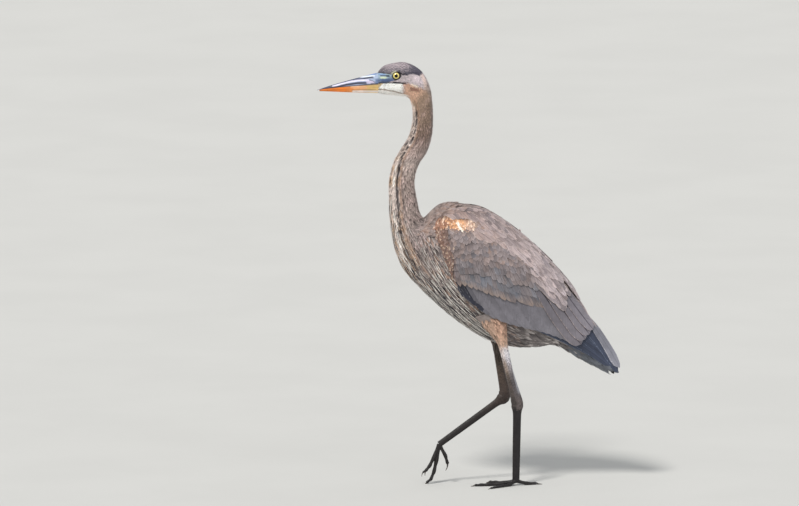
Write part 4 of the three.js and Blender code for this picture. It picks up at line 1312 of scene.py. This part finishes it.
def underparts(coat):
    """Breast, belly and flanks, dark and pale mixed."""
    for start, end, gap, across, long, wide in ((15.0, 17.2, 8, 4.0, 34, 3.0), (17.2, 20.5, 9, 4.8, 38, 3.8),
                                                (20.5, 24.2, 10, 5.6, 42, 4.8)):
        t, turn = body_rows(BODY_SURFACE, start, end, gap, across, 0.6,
                            lambda t, turn, p: front_angle(turn) < 112)
        n = len(t)
        chance = rng.random(n)
        plain = ss(19.5, 21.5, t)
        base = body_paint(t, turn, body_place(t, turn))
        base = mix(base, srgb(60, 56, 60), 0.5 * (chance > 0.75) * (1 - 0.3 * plain))
        base = mix(base, srgb(222, 214, 210), 0.5 * (np.abs(chance - 0.36) < 0.08) * plain)
        base = mix(base, srgb(178, 138, 112), 0.4 * (np.abs(chance - 0.6) < 0.07) * (1 - plain))
        coat.add(BODY_SURFACE, t, turn, varied(long, n, 0.15), varied(wide, n, 0.15), lie_fall, base,
                 rim=lambda c: c * (0.8 + 0.35 * plain[:, None]), rim_at=0.72, shaft=srgb(222, 214, 206),
                 shaft_at=np.where(chance < 0.3, 0.14, 0) * (1 - 0.8 * plain), outline=POINTED, low=-8 * MM,
                 high=MM * (0.2 + 1.0 * rng.random(n)), camber=0.16, spread=0.12, tone=0.13)


def upperparts(coat):
    """The shoulders and the back where the wings cover it."""
    for start, end, gap, across, long, wide in ((14.6, 16.6, 6, 4.5, 24, 4.0), (16.6, 19.6, 13, 8, 44, 7.5)):
        t, turn = body_rows(BODY_SURFACE, start, end, gap, across, 0.6,
                            lambda t, turn, p: front_angle(turn) > 100)
        n = len(t)
        brown = np.clip(rng.normal(0.3, 0.25, n), 0, 0.7) * (1 - ss(16, 18, t))
        base = mix(body_paint(t, turn, body_place(t, turn)), srgb(146, 118, 104), brown)
        coat.add(BODY_SURFACE, t, turn, varied(long, n), varied(wide, n), lie_back(0.05), base,
                 rim=srgb(190, 174, 166), rim_at=0.86, shaft=lambda c: c * 0.7, shaft_at=0.06, low=-6 * MM,
                 high=MM * (1.0 + 1.2 * rng.random(n)), camber=0.10, spread=0.1, tone=0.12)


def back_roof(coat):
    """The plumes that roof the back between the wings and fall over the rump."""
    def keep(t, turn, p):
        return (np.abs(turn) < 1.5 - 0.3 * ss(21.7, 22.5, t)) & ((t > 17.2) | (np.abs(turn) > 0.8))

    roof = Surface(saddle_place)
    t, turn = body_rows(roof, 15.6, 23.5, 12, 6.5, 0.7, keep)
    n = len(t)
    long = np.interp(t, (15.6, 18), (30, 58))
    coat.add(roof, t, turn, varied(long, n), varied(7.2, n), lie_back(),
             lambda a, b, p: scapular_colour(a - WING_START, b, p), rim=PLUME_EDGE, rim_at=0.87,
             shaft=PLUME_SHAFT, shaft_at=0.07, low=-6 * MM, outline=ROUND,
             high=MM * (0.6 + 1.0 * rng.random(n) - 2.5 * ss(21.7, 22.5, t)),
             rows=BIG_ROWS, columns=BIG_COLUMNS, camber=0.10, tone=0.10)


def body_coat():
    coat = Coat("coat_body", chart(14, 25))
    underparts(coat)
    upperparts(coat)
    back_roof(coat)
    coat.build(PLUME, "body_feathers")


def tail_coat():
    """Fifteen tail feathers above and below, in a shallow roof, with coverts over their roots."""
    coat = Coat("coat_tail", chart(21, 29))
    for under in (0, 1):
        turns = np.radians(180 * under + np.linspace(-62, 62, 8 - under))
        n = len(turns)
        coat.add(BODY_SURFACE, np.full(n, 23.0), turns, MM * (150 - 14 * np.abs(np.linspace(-1, 1, n))),
                 15 * MM, lie_back(), srgb(110, 113, 122), rim=srgb(150, 150, 152), rim_at=0.93,
                 shaft=srgb(64, 64, 70), shaft_at=0.05, outline=QUILL, rows=FINE_ROWS, columns=FINE_COLUMNS,
                 low=-7 * MM, high=-1.5 * MM + 2.0 * MM * np.cos(np.linspace(-1.4, 1.4, n)), camber=0.05,
                 ridge=0.35 * MM, spread=0.01, tone=0.03)
    t, turn = body_rows(BODY_SURFACE, 23.2, 25.4, 13, 9, 0.7)
    n = len(t)
    coat.add(BODY_SURFACE, t, turn, varied(48, n), varied(7.5, n), lie_back(), body_paint,
             rim=lambda c: c * 1.25, rim_at=0.84, low=-7 * MM,
             high=MM * (0.5 + 1.2 * rng.random(n) - 3 * ss(-0.4, 0, np.cos(turn))), camber=0.12)
    coat.build(FLIGHT, "tail_feathers", "tail")


def thigh_coat(name):
    coat = Coat("coat_thigh_" + name, lambda t, turn: ((turn / (2 * PI) + 0.5) % 1.0, t / 4.5))
    surface = Surface(limb_place(leg_stations(name)))
    for start, end, gap, across, long, wide in ((0.04, 1.6, 6, 3.6, 24, 2.9), (1.6, 3.1, 4.0, 2.6, 16, 2.1),
                                                (3.1, 3.75, 2.6, 1.8, 8, 1.2)):
        t, turn = body_rows(surface, start, end, gap, across, 0.6)
        n = len(t)
        coat.add(surface, t, turn, varied(long, n, 0.15), varied(wide, n, 0.15), lie_back(),
                 lambda a, b, p: leg_paint(p), rim=lambda c: c * 1.15, shaft=lambda c: c * 0.75,
                 shaft_at=0.2 * (rng.random(n) < 0.3), outline=POINTED,
                 low=-MM * (3.2 + 10 * (1 - ss(0, 0.7, t))), high=MM * (0.3 + 0.9 * rng.random(n)),
                 camber=0.2, spread=0.16, tone=0.15)
    coat.build(PLUME, "thigh_feathers")

# ---- Wings --------------------------------------------------------------------------------
# Lower edges of the rows of wing feathers: station and share of the way down the wing.
SCAPULAR_EDGE = ((-0.5, 0.16), (1, 0.2), (3, 0.24), (5, 0.22), (6, 0.3), (7, 0.42), (8, 0.5), (9, 0.5))
LESSER_EDGE = ((-0.5, 0.62), (1, 0.55), (3, 0.47), (5, 0.34), (7, 0.22), (8, 0.2))
MEDIAN_EDGE = ((-0.5, 0.8), (1, 0.72), (3, 0.63), (5, 0.52), (7, 0.32), (8, 0.3))
GREATER_EDGE = ((-0.5, 0.98), (1, 0.94), (2, 0.85), (3, 0.80), (5, 0.71), (7, 0.55), (8, 0.5))


def lie_angle(stops, steeper=0):
    """A lie in the upright plane: degrees below level, towards the tail, by wing station."""
    def lie(a, b, pa):
        stops_t, degrees = np.array(stops, float).T
        angle = np.radians(np.interp(a, stops_t, degrees + steeper))
        return np.stack([np.cos(angle), 0 * angle, -np.sin(angle)], -1)
    return lie


COVERT_LIE = lie_angle(((-0.5, 88), (0.6, 84), (2, 78), (3, 72), (5, 64), (7, 56), (9, 50)))
SCAPULAR_LIE = lie_angle(((-0.5, 62), (1, 56), (3, 50), (5, 47), (9, 46)))
QUILL_LIE = lie_angle(((0, 66), (3, 60), (5, 57), (7, 53), (9, 49), (13, 46)))
PRIMARY_STOPS = ((6, 27), (7.5, 32), (9.5, 36), (10.5, 40), (11.5, 47), (12.6, 62))


def spaced(place, points, gap):
    """Stations and shares along an edge given by points, evenly gap mm apart in space."""
    points = np.array(points, float)
    t = np.linspace(points[0, 0], points[-1, 0], 400)
    share = np.interp(t, points[:, 0], points[:, 1])
    arc = arc_length(place(t, share))
    n = max(2, int(arc[-1] / (gap * MM)))
    at = (np.arange(n) + rng.uniform(0.3, 0.7, n)) / n * arc[-1]
    return np.interp(at, arc, t), np.interp(at, arc, share)


def band(place, upper, lower, rows, gap, first, last):
    """Tips, gap mm apart, of rows of feathers that fill the band between two edges of the wing."""
    t_all, q_all = [], []
    for row in range(rows):
        f = (row + 1) / rows
        t = np.linspace(first, last, 30)
        edge = line(upper, t) * (1 - f) + line(lower, t) * f
        t, q = spaced(place, np.stack([t, edge], -1), gap)
        t_all.append(t)
        q_all.append(q + rng.normal(0, 0.014, len(q)))
    return np.concatenate(t_all), np.concatenate(q_all)


RUFOUS, PATCH_RUFOUS = srgb(146, 110, 92), srgb(216, 164, 124)
BUFF, SLATE = srgb(206, 180, 158), srgb(66, 73, 92)
WING_TOP = -0.01  # no feather passes this share of the way down the wing, upwards
# How flight feathers and the larger coverts are built.
FINE = dict(outline=QUILL, rows=FINE_ROWS, columns=FINE_COLUMNS, from_tip=True, spread=0.012, tone=0.04,
            camber=0.03, ridge=0.25 * MM)
BIG = dict(from_tip=True, rows=BIG_ROWS, columns=BIG_COLUMNS)
# The bright patch of the shoulder and the pale slash in it, seen from the side.
PATCH_LINE, PATCH_WIDTH = ((-84, 598), (-60, 602), (-40, 602), (-20, 596), (0, 597)), 11
SLASH_LINE = ((-32, 603), (-27, 593), (-20, 583))

# Covert colours from the upper edge of the wing to the secondaries, by share of the way to them.
COVERTS = [(0, 146, 134, 133), (0.3, 138, 128, 129), (0.6, 128, 121, 124), (0.85, 112, 113, 120),
           (1, 106, 111, 122)]


def wing_colour(t, q, p=None):
    """Grey of the coverts by height on the wing, browner towards the bend, each one a little different."""
    share = q / line(GREATER_EDGE, t)
    c = ramp(COVERTS, share + rng.normal(0, 0.06, len(t)))
    c = mix(c, srgb(146, 120, 106), np.clip(rng.normal(0.18, 0.16, len(t)), 0, 0.6))
    c = mix(c, srgb(92, 88, 92), 0.5 * (rng.random(len(t)) < 0.12))
    return mix(c, RUFOUS, 0.55 * (1 - ss(0.3, 1.2, t)))


def scapular_colour(t, q, p):
    """Palest grey at the rear, with some feathers darker and some browner."""
    grey = ramp([(0, 136, 121, 118), (3, 156, 140, 139), (6, 178, 164, 165), (9, 160, 151, 156)], t)
    grey = mix(grey, srgb(108, 101, 106), 0.6 * (rng.random(len(t)) < 0.2))
    brown = np.clip(rng.normal(0.15, 0.22, len(t)), 0, 0.6) * (1 - 0.6 * ss(3, 6, t))
    return mix(grey, srgb(150, 122, 106), brown)


def primaries(coat, surface, roll):
    """Dark slate, the longest lowest, fanned under a grey blade whose pale edges are brightened to white as a
    painted highlight.
    """
    lie = lie_angle(PRIMARY_STOPS)
    marked = dict(rim=srgb(150, 162, 188), rim_at=0.93, shaft=srgb(40, 42, 52), shaft_at=0.05, roll=roll,
                  **FINE)
    k = np.arange(6)
    coat.add(surface, 11.4 - 0.6 * k, 0.90 + 0 * k, MM * (150 - 3 * k), MM * (8 + 0.2 * k), lie, SLATE,
             low=-10 * MM, high=MM * (-2.5 - 1.6 * k), **marked)
    for tip_t, tip_q, steeper, wide in ((12.6, 0.88, 2, 6.5), (12.6, 0.74, 3, 8), (12.4, 0.60, 6, 11),
                                        (12.0, 0.55, 10, 15)):
        coat.add(surface, np.array([tip_t]), np.array([tip_q]), 150 * MM, wide * MM,
                 lie_angle(PRIMARY_STOPS, steeper), SLATE, low=-9 * MM, high=MM * (-3.6 + 1.6 * tip_q),
                 **marked)
    # Painted shade: a near-black vane put in the gap between the wing tip and the tail, where only shade
    # shows.
    coat.add(surface, np.array([12.2]), np.array([1.1]), 62 * MM, 5 * MM, lie, srgb(30, 30, 33), low=-12 * MM,
             high=-9 * MM, roll=roll, **FINE)
    # The grey blade: its near-white rim is partly pale edge and partly painted highlight.
    k = np.arange(2)
    coat.add(surface, 12.4 + 0.3 * k, 0.44 - 0.10 * k, 130 * MM, MM * (12.0 + 0.5 * k),
             lie_angle(((0, 58), (13, 58))), srgb(140, 140, 150), rim=srgb(236, 234, 240), rim_at=0.92,
             shaft=srgb(104, 106, 116), shaft_at=0.05, low=-7 * MM, high=MM * (-1.6 + 0.7 * k), roll=roll,
             **FINE)


def secondaries(coat, surface, roll):
    """Along the lower edge, each over the one in front of it; the first ones are dark, partly their own slate
    and partly painted shade under the front of the wing.
    """
    edge = ((1.0, 1.04), (3, 1.0), (5, 0.96), (6.5, 0.92), (7.7, 0.89), (8.7, 0.84))
    t, q = spaced(surface.place, edge, 17)
    k = np.arange(len(t))
    # The front vanes are darker: partly their own slate, partly painted shade under the wing's front lower
    # edge.
    dark = (1 - ss(3.4, 4.4, k))[:, None]
    blend = lambda pale, deep: srgb(*pale) * (1 - dark) + srgb(*deep) * dark
    coat.add(surface, t, q, MM * (140 + 2 * k), 14.5 * MM, QUILL_LIE, blend((124, 121, 128), (46, 47, 58)),
             rim=blend((168, 166, 174), (200, 200, 204)), rim_at=0.95, shaft=srgb(80, 78, 86), shaft_at=0.04,
             low=-9 * MM, high=MM * (-5.0 + 0.1 * k), roll=roll, **FINE)


def tertials(coat, surface, roll):
    """Broad and round tipped over the rear of the secondaries."""
    k = np.arange(4)
    coat.add(surface, 8.95 + 0.12 * k, 0.80 - 0.175 * k, MM * (185 - 6 * k), MM * (19 - 0.5 * k), QUILL_LIE,
             srgb(124, 119, 126), rim=srgb(206, 186, 178), rim_at=0.93, shaft=srgb(70, 66, 76), shaft_at=0.08,
             low=-6 * MM, high=MM * (-2.6 + 0.7 * k), roll=roll,
             **{**FINE, "outline": ROUND, "spread": 0.03, "tone": 0.06})


def covert_rows(coat, surface, side):
    """Greater, median and lesser coverts, from the lowest rows up."""
    lavender = lambda c: np.minimum(1, c * 1.42 + 0.02)
    # Greater coverts: blue-grey with brown points; those in front are narrow and hang nearly straight.
    t, q = band(surface.place, MEDIAN_EDGE, GREATER_EDGE, 2, 13, -0.3, 7.3)
    n = len(t)
    tips = mix(srgb(132, 114, 104), srgb(156, 138, 128), rng.random(n))
    long, wide = np.interp(t, (0, 3, 8), (56, 74, 84)), np.interp(t, (0, 2, 8), (7.5, 10, 11))
    coat.add(surface, t, q, MM * long, MM * wide, COVERT_LIE, wing_colour, rim=tips, rim_at=0.97,
             shaft=srgb(86, 82, 88), shaft_at=0.05, low=-6.5 * MM, high=-MM * (2.2 + 3 * ss(4.5, 6.5, t)),
             camber=0.10, roll=side * 0.07,
             tip=(0.4 + 0.6 * rng.random(n)) * ss(0.9, 0.96, q / line(GREATER_EDGE, t)), spread=0.06, **BIG)
    # Median coverts: broad, dark centred and pale edged.
    t, q = band(surface.place, LESSER_EDGE, MEDIAN_EDGE, 3, 12.5, -0.3, 7.3)
    n = len(t)
    coat.add(surface, t, q, MM * np.interp(t, (0, 3, 8), (34, 46, 56)), varied(9.5, n, 0.1), COVERT_LIE,
             wing_colour, rim=lavender, shaft=srgb(92, 84, 84), shaft_at=0.07, low=-5 * MM,
             high=-MM * (1.0 + 3 * ss(5, 6.8, t)), camber=0.14, roll=side * 0.06, outline=ROUND, spread=0.09,
             tone=0.10, **BIG)
    t, q = band(surface.place, SCAPULAR_EDGE, LESSER_EDGE, 7, 9.5, -0.4, 6.4)
    n = len(t)
    coat.add(surface, t, q, MM * np.interp(t, (0, 3, 8), (22, 28, 36)), varied(7.0, n, 0.14), COVERT_LIE,
             wing_colour, rim=lavender, rim_at=0.78, high=MM * (0.0 + 0.7 * rng.random(n)), camber=0.16,
             from_tip=True, spread=0.13, tone=0.12)


def in_patch(x, z):
    """1 in the bright patch of the shoulder, seen from the side."""
    return near_line(x, z, PATCH_LINE, PATCH_WIDTH)


def bend_feathers(coat, surface):
    """Small feathers over the bend of the wing: the bright patch, and mottled rufous below it."""
    t, q = band(surface.place, ((-0.5, 0.0), (3.2, 0.02)), ((-0.5, 0.98), (0.9, 0.6), (2.2, 0.3), (3.2, 0.3)),
                36, 4.2, -0.48, 3.1)
    x, z = side_view(surface.place(t, q))
    bright = in_patch(x, z)
    stay = (t < 1.25 - 0.6 * rng.random(len(t)) - 0.3 * q) | (bright > 0.2 + 0.5 * rng.random(len(t)))
    t, q, x, z, bright = t[stay], q[stay], x[stay], z[stay], bright[stay]
    n = len(t)
    chance = rng.random(n)
    own = mix(wing_colour(t, q), srgb(112, 82, 68), 0.6 * (chance < 0.45))
    own = mix(own, BUFF, 0.55 * (np.abs(chance - 0.55) < 0.07))
    own = mix(own, srgb(74, 62, 60), 0.6 * (chance > 0.86))
    fore = 1 - ss(-66, -44, x + 22 * chance - 8)
    patch = mix(PATCH_RUFOUS, srgb(164, 126, 108), fore)
    patch = mix(patch, srgb(196, 168, 152), ss(-22, -4, x))
    patch = mix(patch, srgb(150, 104, 80), 0.6 * (chance < 0.22 + 0.2 * fore))
    patch = mix(patch, srgb(240, 212, 188), 0.75 * (np.abs(chance - 0.5) < 0.09))
    patch = mix(patch, srgb(255, 246, 232), near_line(x, z, SLASH_LINE, 2.8))
    own = mix(own, patch, ss(0.15, 0.7, bright))
    long = np.interp(q, (0, 0.3, 1), (15, 15, 18))
    coat.add(surface, t, q, varied(long, n), varied(2.6, n), COVERT_LIE, own, rim=lambda c: c * 1.08,
             low=-3 * MM, high=MM * (1.0 + 0.8 * rng.random(n)), camber=0.2, from_tip=True, spread=0.14)


def scapulars(coat, surface, side):
    """Long pale-edged plumes that hang from the back over the wing's upper part."""
    for f, long, wide, high, last in ((1.0, 92, 8.6, 0.6, 7.5), (0.8, 88, 8.2, 1.0, 7.5),
                                      (0.58, 80, 7.6, 1.3, 7.5), (0.34, 70, 7.0, 1.4, 7.6),
                                      (0.12, 56, 6.2, 0.6, 8.2)):
        edge = [(t, f * line(SCAPULAR_EDGE, t)) for t in np.linspace(1.4, last, 20)]
        t, q = spaced(surface.place, edge, 9)
        q = q + rng.normal(0, 0.02, len(q))
        clear = in_patch(*side_view(surface.place(t, q))) < 0.3
        t, q = t[clear], q[clear]
        n = len(t)
        coat.add(surface, t, q, varied(long, n, 0.14) * np.interp(t, (1, 3), (0.5, 1)), varied(wide, n, 0.12),
                 SCAPULAR_LIE, scapular_colour, rim=PLUME_EDGE, rim_at=0.87, shaft=PLUME_SHAFT, shaft_at=0.07,
                 low=(high - 5.0) * MM, high=high * MM, outline=ROUND, camber=0.10, roll=side * 0.05,
                 spread=0.10, tone=0.13, **BIG)


def wing_coats(name):
    side = SIDES[name]
    surface = Surface(wing_place(side), WING_TOP)
    layout = lambda t, q: (np.clip(t / 13 + 0.03, 0, 1), np.clip(q * 0.9 + 0.05, 0, 1))
    quills = Coat("flight_" + name, layout)
    primaries(quills, surface, side * 0.04)
    secondaries(quills, surface, side * 0.12)
    tertials(quills, surface, side * 0.12)
    quills.build(FLIGHT, "wing_feathers", "wing_" + name)
    coverts = Coat("coat_wing_" + name, layout)
    covert_rows(coverts, surface, side)
    bend_feathers(coverts, surface)
    scapulars(coverts, surface, side)
    coverts.build(PLUME, "wing_feathers")

# ---- The bird -----------------------------------------------------------------------------
make_skin()
BILL_HORN = horn_material("bill_horn", 0.42, (14.0, 420.0, 420.0))
for upper in (True, False):
    make_bill(upper, BILL_HORN)
CLAW_HORN = horn_material("claw_horn", 0.38, (260.0, 260.0, 260.0))
EYE_WET = eye_material()
for name, side in SIDES.items():
    make_eye(name, side, EYE_WET)
    for number in TOES:
        claw_piece(name, number, CLAW_HORN)
head_coat()
neck_coat("coat_neck_upper", (6.2, 8, 3.1, 1.5, 10, 1.0), (8, 10.4, 3.5, 1.7, 12, 1.15))
neck_coat("coat_neck_lower", (10.4, 12.8, 4.2, 2.0, 15, 1.35), (12.8, 15.6, 4.8, 2.4, 20, 1.7))
plume_coat()
body_coat()
tail_coat()
for name in SIDES:
    thigh_coat(name)
    wing_coats(name)

# ---- Floor, light and camera --------------------------------------------------------------
def add_floor():
    bpy.ops.mesh.primitive_plane_add(size=200, location=(0, 0, 0))
    floor = bpy.context.object
    floor.name = "floor"
    floor.data.materials.append(floor_material())
    floor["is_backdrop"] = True


def add_sun(name, way, softness, power, colour=(1, 1, 1)):
    data = bpy.data.lights.new(name, "SUN")
    data.energy, data.angle, data.color = power, math.radians(softness), colour
    made = bpy.data.objects.new(name, data)
    made.rotation_euler = Vector(way).to_track_quat("-Z", "Y").to_euler()
    bpy.context.scene.collection.objects.link(made)


def add_sky(colour, strength):
    world = bpy.data.worlds.new("studio")
    world.use_nodes = True
    background = world.node_tree.nodes["Background"]
    background.inputs["Color"].default_value = colour
    background.inputs["Strength"].default_value = strength
    bpy.context.scene.world = world


VIEW_AZIMUTH, VIEW_ELEVATION, VIEW_DISTANCE, VIEW_WIDTH = -6.0, 9.0, 40.0, 1.798
TARGET = Vector((-0.1474, 0.0974, 0.5156))


def add_camera():
    az, el = math.radians(VIEW_AZIMUTH), math.radians(VIEW_ELEVATION)
    back = Vector((math.sin(az) * math.cos(el), -math.cos(az) * math.cos(el), math.sin(el)))
    data = bpy.data.cameras.new("camera")
    data.sensor_width = 36.0
    data.lens = data.sensor_width * VIEW_DISTANCE / VIEW_WIDTH
    data.clip_end = 400
    camera = bpy.data.objects.new("camera", data)
    camera.location = TARGET + back * VIEW_DISTANCE
    camera.rotation_euler = (-back).to_track_quat("-Z", "Y").to_euler()
    bpy.context.scene.collection.objects.link(camera)
    bpy.context.scene.camera = camera


add_floor()
add_sun("key", (0.55, 0.75, -1.25), 12, 2.3, (1.0, 0.97, 0.93))
add_sun("fill", (-0.8, 0.9, -0.35), 40, 0.35, (0.93, 0.96, 1.0))
add_sky((0.86, 0.88, 0.90, 1), 0.62)
bpy.context.scene.view_settings.view_transform = "Standard"
add_camera()

plain = lambda bounds: [list(map(float, corner)) for corner in bounds]
{"cad": plain(CAD_BOX), "visual": plain(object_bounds())}
